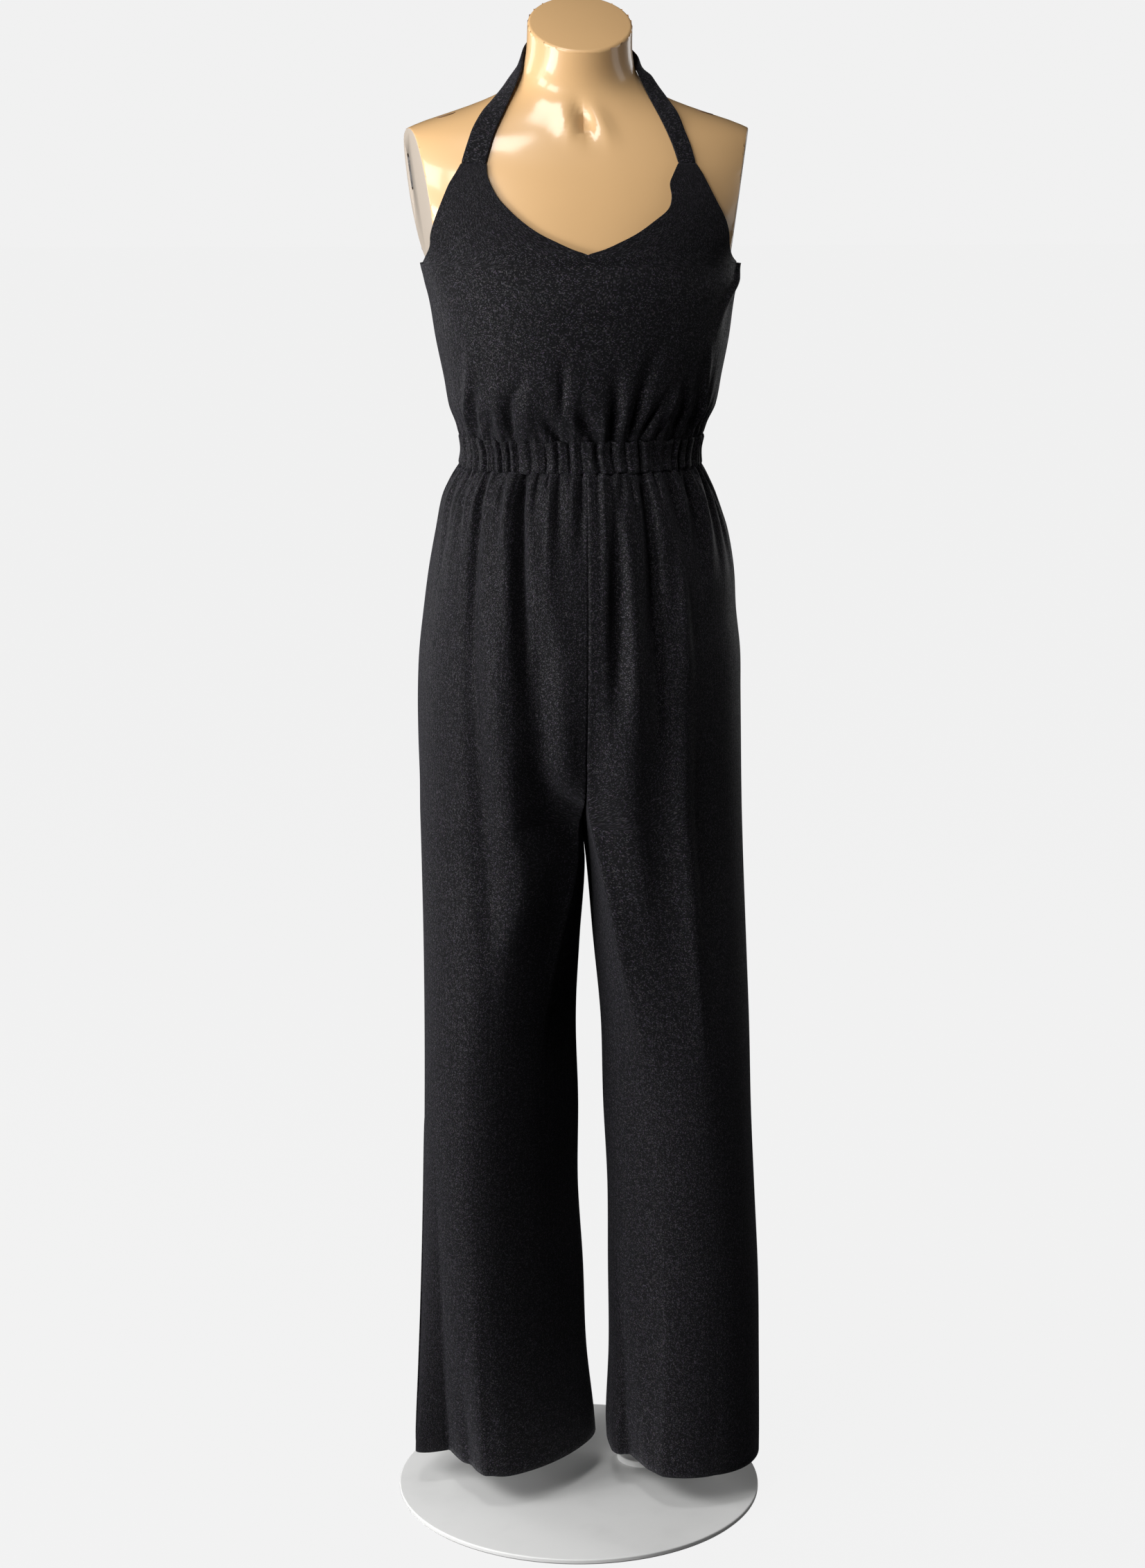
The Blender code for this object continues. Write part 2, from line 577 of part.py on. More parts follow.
def make_bodice_back(collection, material):
    """The plain back, straight across under the arms."""
    bm = new_cloth()
    heights = BACK_HEIGHTS
    top = len(heights) - 1

    def place(across, row):
        angle = pi / 2 + pi * across
        height = heights[row]
        height -= BACK_DIP * sin(pi * across) ** 2 * smooth_step(0.5, 1.0, row / top)
        seam = 1 if across < 0.001 else -1 if across > 0.999 else None
        point, inward = bodice_place(angle, height, seam)
        point.y += HALF_GAP
        return point, inward

    lay_grid(bm, BACK_COLUMNS, top, place)
    thicken(bm)
    return add_object(collection, "bodice_back", bm, material)


def make_band(collection, material, name, start_angle, gap_side):
    """Half of the ruched elastic waistband: waves outside, a plain face inside."""
    bm = new_cloth()

    def place(across, row):
        angle = start_angle + pi * across
        height = BAND_BOTTOM + (BAND_TOP - BAND_BOTTOM) * row / BAND_ROWS
        base = girth_point(BAND_SECTIONS, angle, height)
        out = way_out(lambda a: girth_point(BAND_SECTIONS, a, height), angle)
        seam = across < 0.001 or across > 0.999
        if seam:
            out = Vector((1 if base.x > 0 else -1, 0, 0))
        phase = BAND_WAVES * angle + BAND_DRIFT * sin(3 * angle + 1.3)
        phase += BAND_LEAN * (row / BAND_ROWS - 0.5) * cos(angle + 0.9)
        wave = 0.0 if seam else BAND_WAVE_DEPTH * sin(phase)
        point = base + out * wave
        point.y += gap_side * HALF_GAP
        return point, -out * (CLOTH + wave)

    lay_grid(bm, BAND_COLUMNS, BAND_ROWS, place)
    thicken(bm)
    return add_object(collection, name, bm, material)


# ---------------------------------------------------------------- trousers
BODY_SHARE = 0.658      # share of a D-shaped half section that is body, the rest is inner leg


def trouser_sizes(side, height):
    """The half section's sizes at a height: inner, outer, front, back, skew and roundness."""
    if height < CROTCH_HEIGHT:
        rows = LEFT_LEG if side > 0 else RIGHT_LEG
        return [read_table(rows, name, height) for name in Leg._fields[1:]]
    outer = read_table(HIP_SECTIONS, "left" if side > 0 else "right", height)
    front = read_table(HIP_SECTIONS, "front", height)
    back = read_table(HIP_SECTIONS, "back", height)
    fall = min(max((ROUND_FROM - height) / (ROUND_FROM - CROTCH_HEIGHT), 0.0), 1.0)
    roundness = LEFT_LEG[-1].roundness * fall * fall
    return [0.0, outer, front, back, 0.0, roundness]


def reach_at(height):
    """How far round the half section the cloth goes: 1 is the whole leg."""
    if height >= FORK_HEIGHT:
        return BODY_SHARE
    if height <= CROTCH_HEIGHT:
        return 1.0
    fall = (FORK_HEIGHT - height) / (FORK_HEIGHT - CROTCH_HEIGHT)
    return BODY_SHARE + (1 - BODY_SHARE) * (1 - (1 - fall * fall) ** 0.5)


def section_shape(share, roundness):
    """The D-shaped or round section, 1 wide and 2 deep: share -1 to 1, front to back."""
    if abs(share) <= BODY_SHARE:
        angle = pi / 2 * share / BODY_SHARE
        d_x, d_y = power_sine(pi / 2 - angle, 2.15), power_sine(angle, 2.15)
    else:
        d_x = 0.0
        d_y = (1 - (abs(share) - BODY_SHARE) / (1 - BODY_SHARE)) * (1 if share > 0 else -1)
    round_x, round_y = (1 + cos(pi * share)) / 2, sin(pi * share)
    return d_x + (round_x - d_x) * roundness, d_y + (round_y - d_y) * roundness


def trouser_base(side, share, height):
    """A point on one half of the trousers before its folds, on the wearer's left."""
    inner, outer, front, back, skew, roundness = trouser_sizes(side, height)
    x, y = section_shape(share, roundness)
    edge_x = section_shape(reach_at(height), roundness)[0]
    x = (x - edge_x) / (1 - edge_x)
    depth = (front + back) / 2
    return Vector((
        inner + (outer - inner) * x,
        (back - front) / 2 + depth * y + skew * (1 - 2 * x),
        height,
    ))


def tuck_depth(side, share, height):
    """How far the tucks of one leg draw its front or back towards the other."""
    depth = 0.0
    turn = 180 * share
    for tuck in LEFT_TUCKS if side > 0 else RIGHT_TUCKS:
        along = (height - HEM_HEIGHT) / (tuck.tip_height - HEM_HEIGHT)
        if along >= 1 or turn * tuck.hem_turn <= 0:
            continue
        inside = abs(turn) - abs(tuck.hem_turn + (tuck.tip_turn - tuck.hem_turn) * along)
        if inside < 0:
            near = max(1 + inside / tuck.outer_reach, 0.0)
        else:
            near = max(1 - inside / tuck.inner_reach, 0.0) ** 2
        depth += tuck.depth * near * (1 - along) ** 1.6
    return depth * (1 if share > 0 else -1)


def trouser_point(side, share, height):
    """A trouser point with its folds, on the wearer's left."""
    base = trouser_base(side, share, height)
    if abs(share) > reach_at(height) - 1e-6:
        out = Vector((0, 1 if share > 0 else -1, 0))
    else:
        out = way_out(lambda s: trouser_base(side, s, height), share)
    angle = 90 + 90 * share / BODY_SHARE
    folds = LEFT_TROUSER_FOLDS if side > 0 else RIGHT_TROUSER_FOLDS
    depth = fold_depth(folds, angle, height) * pinch(height, BAND_BOTTOM)
    depth += fold_depth(SEAM_DIPS, angle, height) * smooth_step(0.70, CROTCH_HEIGHT, height)
    point = base - out * depth * (1 - smooth_step(0.70, 0.92, abs(share)))
    point.y -= tuck_depth(side, share, height)
    return point


def trouser_place(side, share, height):
    """A trouser point and its way in, for the wearer's left half."""
    if abs(share) > reach_at(height) - 1e-6:
        turned_in = smooth_step(FORK_HEIGHT, 0.81, height)
        out = Vector((-turned_in, (1 - turned_in) * (1 if share > 0 else -1), 0)).normalized()
    elif abs(share) < 1e-6:
        out = Vector((1, 0, 0))
    elif height > CROTCH_HEIGHT:
        out = way_out(lambda s: trouser_base(side, s, height), share)
    else:
        out = way_out(lambda s: trouser_point(side, s, height), share)
    return trouser_point(side, share, height), -out * CLOTH


def trouser_heights():
    """Every row's height, from the band down, closer where the crotch curves under."""
    fork = []
    for step in range(1, FORK_STEPS + 1):
        fall = sin(pi / 2 * step / FORK_STEPS)
        fork.append(FORK_HEIGHT - (FORK_HEIGHT - CROTCH_HEIGHT) * fall)
    return list(reversed(HIP_HEIGHTS + fork + LEG_HEIGHTS))


def make_trouser(collection, material, name, side, face):
    """One trouser piece: side is 1 for the wearer's left, face is -1 for the front."""
    bm = new_cloth()
    heights = trouser_heights()

    def place(across, row):
        height = heights[row]
        part = across if side > 0 else 1 - across
        part = 1 - part if face < 0 else part
        share = BODY_SHARE * part + (reach_at(height) - BODY_SHARE) * part**2
        point, inward = trouser_place(side, face * share, height)
        point.y += face * HALF_GAP
        inner = trouser_sizes(side, height)[0]
        point.x = max(point.x, inner + HALF_GAP)
        return (
            Vector((side * point.x, point.y, point.z)),
            Vector((side * inward.x, inward.y, inward.z)),
        )

    lay_grid(bm, TROUSER_COLUMNS, len(heights) - 1, place)
    thicken(bm)
    return add_object(collection, name, bm, material)


# ---------------------------------------------------------------- halter strap
def on_route(rows, part):
    """A smooth point, or any other columns, along the strap's stations."""
    place = part * (len(rows) - 1)
    index = min(int(place), len(rows) - 2)
    part = place - index

    def row(i):
        return Vector(rows[min(max(i, 0), len(rows) - 1)])

    a, b, c, d = (row(index + i) for i in (-1, 0, 1, 2))
    return 0.5 * (
        2 * b + (c - a) * part + (2 * a - 5 * b + 4 * c - d) * part**2
        + (3 * b - a - 3 * c + d) * part**3
    )


def make_strap(collection, material):
    """One flat band from cup to cup round the nape."""
    bm = new_cloth()
    middles = [row[:3] for row in STRAP_ROUTE]
    faces = [row[3:] for row in STRAP_ROUTE]    # the face and the width in one row
    step = 0.002

    def place(across, row):
        part = row / STRAP_STATIONS
        middle = on_route(middles, part)
        along = on_route(middles, min(part + step, 1)) - on_route(middles, max(part - step, 0))
        *face, width = on_route(faces, part)
        aside = along.cross(Vector(face)).normalized()
        out = aside.cross(along).normalized()
        point = middle + out * STRAP_THICKNESS / 2 + aside * width * (across - 0.5)
        if row in (0, STRAP_STATIONS):
            point.z = CUP_TOP + SEAM_GAP
            out.z = 0
        return point, -out * STRAP_THICKNESS

    lay_grid(bm, 2, STRAP_STATIONS, place)
    thicken(bm)
    return add_object(collection, "halter_strap", bm, material)


# ---------------------------------------------------------------- stand
def turned(collection, name, material, profile, place=(0, 0)):
    """A turned solid: a Screw modifier on a profile that runs down its outer side."""
    bm = bmesh.new()
    verts = [bm.verts.new((radius, 0, height)) for radius, height in profile]
    for start, end in zip(verts, verts[1:]):
        bm.edges.new((start, end))
    item = add_object(collection, name, bm, material)
    item.location = (place[0], place[1], 0)
    screw = item.modifiers.new("turn", "SCREW")
    screw.axis = "Z"
    screw.steps = screw.render_steps = ROUND_SEGMENTS
    screw.use_merge_vertices = True
    screw.merge_threshold = 0.00001
    screw.use_smooth_shade = True
    return item


def make_stand(collection, material):
    """The base plate and the pole, with its flange and socket, up inside the wearer's left leg."""
    turned(collection, "stand_base", material, [
        (0, BASE_THICKNESS),
        (BASE_RADIUS - BASE_EDGE, BASE_THICKNESS),
        (BASE_RADIUS, BASE_THICKNESS - BASE_EDGE),
        (BASE_RADIUS, BASE_EDGE),
        (BASE_RADIUS - BASE_EDGE, 0),
        (0, 0),
    ])
    foot = BASE_THICKNESS + SEAM_GAP
    turned(collection, "stand_pole", material, [
        (0, FORM_BOTTOM - SEAM_GAP),
        (POLE_RADIUS, FORM_BOTTOM - SEAM_GAP),
        (POLE_RADIUS, foot + SOCKET_HEIGHT),
        (SOCKET_RADIUS, foot + SOCKET_HEIGHT),
        (SOCKET_RADIUS, foot + FLANGE_HEIGHT),
        (FLANGE_RADIUS, foot + FLANGE_HEIGHT),
        (FLANGE_RADIUS, foot),
        (0, foot),
    ], POLE_PLACE)


# ---------------------------------------------------------------- whole object
def main():
    """Clear the scene and build every piece in one collection."""
    for item in list(bpy.data.objects):
        bpy.data.objects.remove(item, do_unlink=True)
    collection = bpy.data.collections.new("jumpsuit_on_form")
    bpy.context.scene.collection.children.link(collection)

    knit = make_material("knit_charcoal", (0.020, 0.020, 0.024), 0.62)
    shell = make_material("form_beige", (0.72, 0.52, 0.33), 0.30)
    paint = make_material("stand_white", (0.82, 0.82, 0.80), 0.38)

    make_form(collection, shell)
    make_stand(collection, paint)
    make_bodice_front(collection, knit)
    make_bodice_back(collection, knit)
    make_strap(collection, knit)
    make_band(collection, knit, "waistband_front", -pi / 2, -1)
    make_band(collection, knit, "waistband_back", pi / 2, 1)
    make_trouser(collection, knit, "trouser_front_left", 1, -1)
    make_trouser(collection, knit, "trouser_front_right", -1, -1)
    make_trouser(collection, knit, "trouser_back_left", 1, 1)
    make_trouser(collection, knit, "trouser_back_right", -1, 1)


main()
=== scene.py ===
"""Looks of a halter-neck jumpsuit in charcoal lurex knit, worn by a limbless dress form on its stand.

Metres, +Z up. The front faces -Y and +X is the wearer's left. Every cloth piece is laid over its
solid's sections, a little refined, with finer gathers, creases and seams, and then gets its wall.
"""

import json
import logging
from dataclasses import dataclass
from enum import Enum
from functools import partial
from math import cos, degrees, exp, pi, radians, sin, tan
from typing import Callable, NamedTuple, Sequence

import bmesh
import bpy
from mathutils import Matrix, Vector

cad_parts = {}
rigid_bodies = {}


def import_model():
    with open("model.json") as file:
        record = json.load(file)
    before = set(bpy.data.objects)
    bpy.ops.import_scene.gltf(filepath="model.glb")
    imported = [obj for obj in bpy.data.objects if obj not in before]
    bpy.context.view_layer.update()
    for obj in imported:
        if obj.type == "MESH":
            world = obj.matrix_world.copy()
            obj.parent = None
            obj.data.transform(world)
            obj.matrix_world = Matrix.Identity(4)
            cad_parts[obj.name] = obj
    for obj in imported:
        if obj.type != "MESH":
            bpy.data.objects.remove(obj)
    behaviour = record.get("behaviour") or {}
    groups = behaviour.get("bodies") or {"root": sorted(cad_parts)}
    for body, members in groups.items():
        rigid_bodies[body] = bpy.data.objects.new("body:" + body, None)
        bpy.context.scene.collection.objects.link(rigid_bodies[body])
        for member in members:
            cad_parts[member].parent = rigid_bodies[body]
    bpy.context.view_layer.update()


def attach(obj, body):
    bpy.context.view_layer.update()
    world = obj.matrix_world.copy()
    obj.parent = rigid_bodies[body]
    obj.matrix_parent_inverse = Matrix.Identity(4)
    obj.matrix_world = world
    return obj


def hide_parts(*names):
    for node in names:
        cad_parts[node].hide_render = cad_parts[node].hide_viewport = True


for leftover in list(bpy.data.objects):
    bpy.data.objects.remove(leftover, do_unlink=True)
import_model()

LOG = logging.getLogger("jumpsuit")

SEAM_LAP = 0.0006            # how far the gathers reach past the band's edges
WALL = 0.0016                # one wall of cloth, just inside the solids' 1.8 mm
GROOVE = 0.0007              # how far a sewn edge is drawn in
WAIST_LOW = 1.1415           # the band's two seams
WAIST_HIGH = 1.1735
PINCH = 0.42                 # the share of a crease that is left right at a gathered seam
PINCH_REACH = 0.026          # how far from the seam it is whole again
TURN_IN = 0.0010             # how far the cloth turns in at a gathered seam
SQUARENESS = 2.15            # of the garment's sections: 2 is an ellipse, more is squarer
POLE_PLAY = 0.00005          # what the pole keeps clear of the plate and the form
TINY = 1e-6                  # closer than this counts as the same place


class Side(Enum):
    """The wearer's two sides, by the sign of their X."""

    RIGHT = -1
    LEFT = 1


class Face(Enum):
    """The two faces of the garment, by the sign of their Y."""

    FRONT = -1
    BACK = 1


class Held(Enum):
    """How a sheet of cloth is held."""

    HUNG = "hung"
    GATHERED = "gathered"


# ---------------------------------------------------------------- rows of the tables
class Section(NamedTuple):
    """One level section of the dress form."""

    height: float
    half_width: float
    front: float
    back: float
    squareness: float


class Girth(NamedTuple):
    """One level section of the garment's body, with its own reach on each side."""

    height: float
    right: float
    left: float
    front: float
    back: float


class Leg(NamedTuple):
    """One level section of a leg; inner and outer are out from the centre plane to its own side."""

    height: float
    inner: float
    outer: float
    front: float
    back: float
    skew: float
    roundness: float


class Edge(NamedTuple):
    """How far an open edge lies from the centre plane on each side."""

    height: float
    right: float
    left: float


class Crease(NamedTuple):
    """One fold between two places: angles in degrees, heights in metres, a minus depth for a ridge.

    bow swings its middle sideways by that many degrees, and free says that it fades at both ends.
    """

    root_angle: float
    root_height: float
    tip_angle: float
    tip_height: float
    bow: float
    width: float
    depth: float
    free: bool = False


class Fall(NamedTuple):
    """One height of a long fold that drops to the hem: where it is deepest, its reaches and its depth."""

    height: float
    turn: float
    outer_reach: float
    inner_reach: float
    depth: float


class Tuck(NamedTuple):
    """A deep tuck by the hem, by its turn round the leg and its reach to either side, in degrees."""

    hem_turn: float
    tip_turn: float
    tip_height: float
    outer_reach: float
    inner_reach: float
    depth: float


class Station(NamedTuple):
    """One place on the strap: its middle, the way its face looks and its width."""

    x: float
    y: float
    z: float
    face_x: float
    face_y: float
    face_z: float
    width: float


Place = Callable[[float, float], Vector]
Pair = tuple[float, float]
Colour = tuple[float, float, float, float]
Triple = tuple[float, float, float]


# ---------------------------------------------------------------- curves and small sums
def smooth_step(low: float, high: float, value: float) -> float:
    """0 at low, 1 at high and a soft rise between."""
    part = min(max((value - low) / (high - low), 0.0), 1.0)
    return part * part * (3 - 2 * part)


def bell(distance: float, width: float) -> float:
    """A soft bump, 1 in the middle and near 0 past twice its width."""
    return exp(-((distance / width) ** 2))


def power_sine(angle: float, squareness: float) -> float:
    """A sine with the sharper or rounder shoulders of a superellipse."""
    value = sin(angle)
    return abs(value) ** (2 / squareness) * (1 if value >= 0 else -1)


class Profile:
    """Smooth curves through the columns of a table whose rows run up in height."""

    def __init__(self, *rows: NamedTuple) -> None:
        """Keep the rows, and room for what has been read."""
        self.rows = rows
        self.known: dict[tuple[str, float], float] = {}

    def read(self, column: str, height: float) -> float:
        """One column's value at a height, remembered for the next point at that height."""
        key = (column, height)
        if key not in self.known:
            self.known[key] = self._curve(column, height)
        return self.known[key]

    def _slope(self, column: str, index: int) -> float:
        """The slope of a column at one row, from its neighbours."""
        before, after = self.rows[max(index - 1, 0)], self.rows[min(index + 1, len(self.rows) - 1)]
        return (getattr(after, column) - getattr(before, column)) / (after.height - before.height)

    def _curve(self, column: str, height: float) -> float:
        """A cubic between the two rows that hold the height."""
        rows = self.rows
        if height <= rows[0].height:
            return getattr(rows[0], column)
        if height >= rows[-1].height:
            return getattr(rows[-1], column)
        index = next(i for i in range(len(rows) - 1) if height <= rows[i + 1].height)
        step = rows[index + 1].height - rows[index].height
        part = (height - rows[index].height) / step
        start, end = getattr(rows[index], column), getattr(rows[index + 1], column)
        return (
            start * (1 + 2 * part) * (1 - part) ** 2
            + self._slope(column, index) * step * part * (1 - part) ** 2
            + end * part**2 * (3 - 2 * part)
            - self._slope(column, index + 1) * step * part**2 * (1 - part)
        )


def crease_depth(creases: Sequence[Crease], angle: float, height: float) -> float:
    """How far a table of creases pushes the cloth in at one place.

    Args:
        creases: The table.
        angle: Where round the body, in degrees.
        height: How high, in metres.

    Returns:
        The depth in metres, minus where ridges stand out.
    """
    depth = 0.0
    for crease in creases:
        along = (height - crease.root_height) / (crease.tip_height - crease.root_height)
        if along >= 1 or (crease.free and along <= 0):
            continue
        along = max(along, 0.0)
        centre = crease.root_angle + (crease.tip_angle - crease.root_angle) * along
        away = (angle - centre - crease.bow * sin(pi * along) + 180) % 360 - 180
        if abs(away) > 6 * crease.width:
            continue
        fade = 1 - smooth_step(0.1, 1.0, along)
        if crease.free:
            fade = sin(pi * along) ** 1.5
        depth += crease.depth * bell(away, crease.width * (1 + along)) * fade
    return depth


def shirring(angle: float, distance: float, waves: float, depth: float, reach: float) -> float:
    """Uneven small gathers beside a seam, dying away over their reach.

    Args:
        angle: Where round the body, in radians.
        distance: How far from the seam, in metres.
        waves: How many gathers there are all round.
        depth: Their depth at the seam, in metres.
        reach: The distance over which they die away.

    Returns:
        The depth in metres.
    """
    drift = 1.7 * sin(3 * angle + 0.6) + 1.1 * sin(7 * angle + 2.0)
    uneven = 0.75 + 0.30 * sin(5 * angle + 1.0) * sin(11 * angle)
    phase = waves * angle + drift
    fold = 1.7 * (0.62 - abs(sin(phase / 2)) ** 0.8)
    coarse = fold * exp(-distance / (reach * (1 + 0.4 * sin(4 * angle + 0.9) + 0.3 * sin(19 * angle))))
    fine = sin(1.9 * waves * angle + 2 * drift) * exp(-distance / (0.45 * reach))
    return depth * uneven * (coarse + 0.5 * fine)


def pinched(near: float) -> float:
    """The share of a crease's depth that is left at a distance from a gathered seam."""
    return PINCH + (1 - PINCH) * smooth_step(0, PINCH_REACH, near)


def turned_in(near: float) -> float:
    """How far the cloth turns in beside a gathered seam, in metres."""
    return TURN_IN * exp(-near / 0.0022)


def waist_ripple(angle: float, height: float) -> float:
    """How far the gathers push the band's two seams up or down, in metres, near them."""
    low = 0.0008 * sin(29 * angle + 0.4) + 0.0005 * sin(47 * angle + 1.9)
    high = 0.0009 * sin(31 * angle + 2.2) + 0.0005 * sin(53 * angle)
    return low * bell(height - WAIST_LOW, 0.009) + high * bell(height - WAIST_HIGH, 0.009)


def way_out(curve: Callable[[float], Vector], place: float, step: float = 0.01) -> Vector:
    """The level outward normal of a section curve at one place on it."""
    along = curve(place + step) - curve(place - step)
    return Vector((along.y, -along.x, 0)).normalized()


def section_point(angle: float, height: float, half_width: float, front: float, back: float,
                  squareness: float) -> Vector:
    """A point on a level superellipse, by its angle from the front and its reach to each side."""
    x = half_width * power_sine(angle, squareness)
    y = (back - front) / 2 - (front + back) / 2 * power_sine(pi / 2 - angle, squareness)
    return Vector((x, y, height))


def girth_point(profile: Profile, angle: float, height: float) -> Vector:
    """A point on an outer section whose two sides reach their own widths."""
    half_width = profile.read("left" if sin(angle) >= 0 else "right", height)
    front, back = profile.read("front", height), profile.read("back", height)
    return section_point(angle, height, half_width, front, back, SQUARENESS)


# ---------------------------------------------------------------- making pieces
def finish_mesh(name: str, bm: bmesh.types.BMesh, sharp_angle: float, *materials: bpy.types.Material
                ) -> bpy.types.Object:
    """Write a bmesh to a named, smooth-shaded object at the origin.

    Args:
        name: The piece's name.
        bm: The bmesh, which is freed.
        sharp_angle: Edges sharper than this stay sharp, in radians.
        materials: The piece's materials, by slot.

    Returns:
        The new object, linked to the scene.
    """
    mesh = bpy.data.meshes.new(name)
    bm.to_mesh(mesh)
    bm.free()
    for material in materials:
        mesh.materials.append(material)
    mesh.shade_smooth()
    mesh.set_sharp_from_angle(angle=sharp_angle)
    piece = bpy.data.objects.new(name, mesh)
    bpy.context.scene.collection.objects.link(piece)
    return piece


def rotate(bm: bmesh.types.BMesh, angle: float, axis: str) -> None:
    """Turn a whole bmesh about an axis through the origin."""
    bmesh.ops.rotate(bm, cent=(0, 0, 0), matrix=Matrix.Rotation(angle, 3, axis), verts=bm.verts)


def move(bm: bmesh.types.BMesh, by: Sequence[float]) -> None:
    """Move a whole bmesh."""
    bmesh.ops.translate(bm, vec=by, verts=bm.verts)


def round_edges(bm: bmesh.types.BMesh, edges: Sequence[bmesh.types.BMEdge], size: float,
                segments: int = 4) -> None:
    """Round some edges of a bmesh."""
    bmesh.ops.bevel(bm, geom=edges, offset=size, segments=segments, profile=0.5, affect="EDGES",
                    material=-1)


def unroll(bm: bmesh.types.BMesh, flat: bmesh.types.BMLayerItem) -> None:
    """Copy each point's place on the flat cloth, in metres, to the UV map."""
    uv_map = bm.loops.layers.uv.new("cloth")
    for face in bm.faces:
        for loop in face.loops:
            loop[uv_map].uv = loop.vert[flat].xy


def install(piece: bpy.types.Object, node: str = "") -> None:
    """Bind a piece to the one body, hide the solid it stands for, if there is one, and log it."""
    if node:
        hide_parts(node)
    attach(piece, "root")
    LOG.info("%s: %d points", piece.name, len(piece.data.vertices))


def install_cloth(piece: bpy.types.Object, node: str, thickness: float, flat: Pair,
                  held: Held, area: float | None = None) -> None:
    """Give a cloth piece its wall and bind it.

    Args:
        piece: The outer face.
        node: The solid it stands for.
        thickness: Its wall, which goes inward.
        flat: The width and length of its cut, in metres; not used.
        held: How it is held; not used.
        area: The cut's area in square metres, where it isn't a rectangle; not used.
    """
    wall = piece.modifiers.new("wall", "SOLIDIFY")
    wall.thickness = thickness
    wall.offset = -1
    install(piece, node)


@dataclass
class ClothPanel:
    """One sewn piece: an outer face laid over a dense grid, then given its wall."""

    node: str
    columns: int
    rows: int
    flat: Pair
    halves: tuple[Place, ...]
    held: Held = Held.HUNG
    area: float | None = None

    def build(self, knit: bpy.types.Material) -> None:
        bm = bmesh.new()
        flat = bm.verts.layers.float_vector.new("flat")
        width = self.flat[0]
        share = 1 / len(self.halves)
        for index, place in enumerate(self.halves):
            grid = bmesh.ops.create_grid(bm, x_segments=self.columns, y_segments=self.rows, size=1)
            for vert in grid["verts"]:
                across, up = (vert.co.x + 1) / 2, (vert.co.y + 1) / 2
                vert.co = place(across, up)
                vert[flat] = ((index + across) * share * width, vert.co.z, 0)
        bmesh.ops.remove_doubles(bm, verts=bm.verts, dist=TINY)
        unroll(bm, flat)
        piece = finish_mesh(self.node + "_cloth", bm, radians(75), knit)
        install_cloth(piece, self.node, WALL, self.flat, self.held, self.area)


# ---------------------------------------------------------------- finishes
class Nodes:
    """A short way to write a material's node tree."""

    def __init__(self, name: str) -> None:
        """Start a material that has a Principled shader and its output."""
        self.material = bpy.data.materials.new(name)
        self.material.use_nodes = True
        self.tree = self.material.node_tree
        self.shader = self.tree.nodes["Principled BSDF"]

    def add(self, kind: str, inputs: dict[str | int, object] | None = None, **settings: object
            ) -> bpy.types.Node:
        """Add a node, set its own settings, and set or link its inputs.

        Args:
            kind: The node's type, without its ShaderNode prefix.
            inputs: Values or output sockets, by the input's name or place.
            settings: The node's own properties.

        Returns:
            The node.
        """
        node = self.tree.nodes.new("ShaderNode" + kind)
        for name, value in settings.items():
            setattr(node, name, value)
        for name, value in (inputs or {}).items():
            self.put(node.inputs[name], value)
        return node

    def put(self, socket: bpy.types.NodeSocket, value: object) -> None:
        """Link an output socket to an input, or set the input's value."""
        if isinstance(value, bpy.types.NodeSocket):
            self.tree.links.new(value, socket)
        else:
            socket.default_value = value

    def shade(self, **inputs: object) -> bpy.types.Material:
        """Set or link the shader's inputs, whose names have _ for a space, and return the material."""
        for name, value in inputs.items():
            self.put(self.shader.inputs[name.replace("_", " ")], value)
        return self.material

    def ramp(self, factor: bpy.types.NodeSocket, low: float, high: float,
             start: float = 0.0, end: float = 1.0) -> bpy.types.NodeSocket:
        """A clamped smooth change from start to end as the factor goes from low to high."""
        node = self.add("MapRange", {0: factor, 1: low, 2: high, 3: start, 4: end},
                        interpolation_type="SMOOTHSTEP")
        return node.outputs[0]

    def noise(self, vector: bpy.types.NodeSocket, scale: float, detail: float) -> bpy.types.NodeSocket:
        """A soft noise over some coordinates."""
        return self.add("TexNoise", {"Vector": vector, "Scale": scale, "Detail": detail}).outputs[0]

    def bump(self, height: bpy.types.NodeSocket, strength: float, distance: float
             ) -> bpy.types.NodeSocket:
        """A normal that a height pushes by a distance in metres."""
        inputs = {"Strength": strength, "Distance": distance, "Height": height}
        return self.add("Bump", inputs).outputs[0]

    def blend(self, factor: bpy.types.NodeSocket | float, first: object, second: object,
              mode: str = "MIX") -> bpy.types.NodeSocket:
        """Two colours mixed by a factor."""
        node = self.add("Mix", {0: factor, 6: first, 7: second}, data_type="RGBA", blend_type=mode)
        return node.outputs[2]


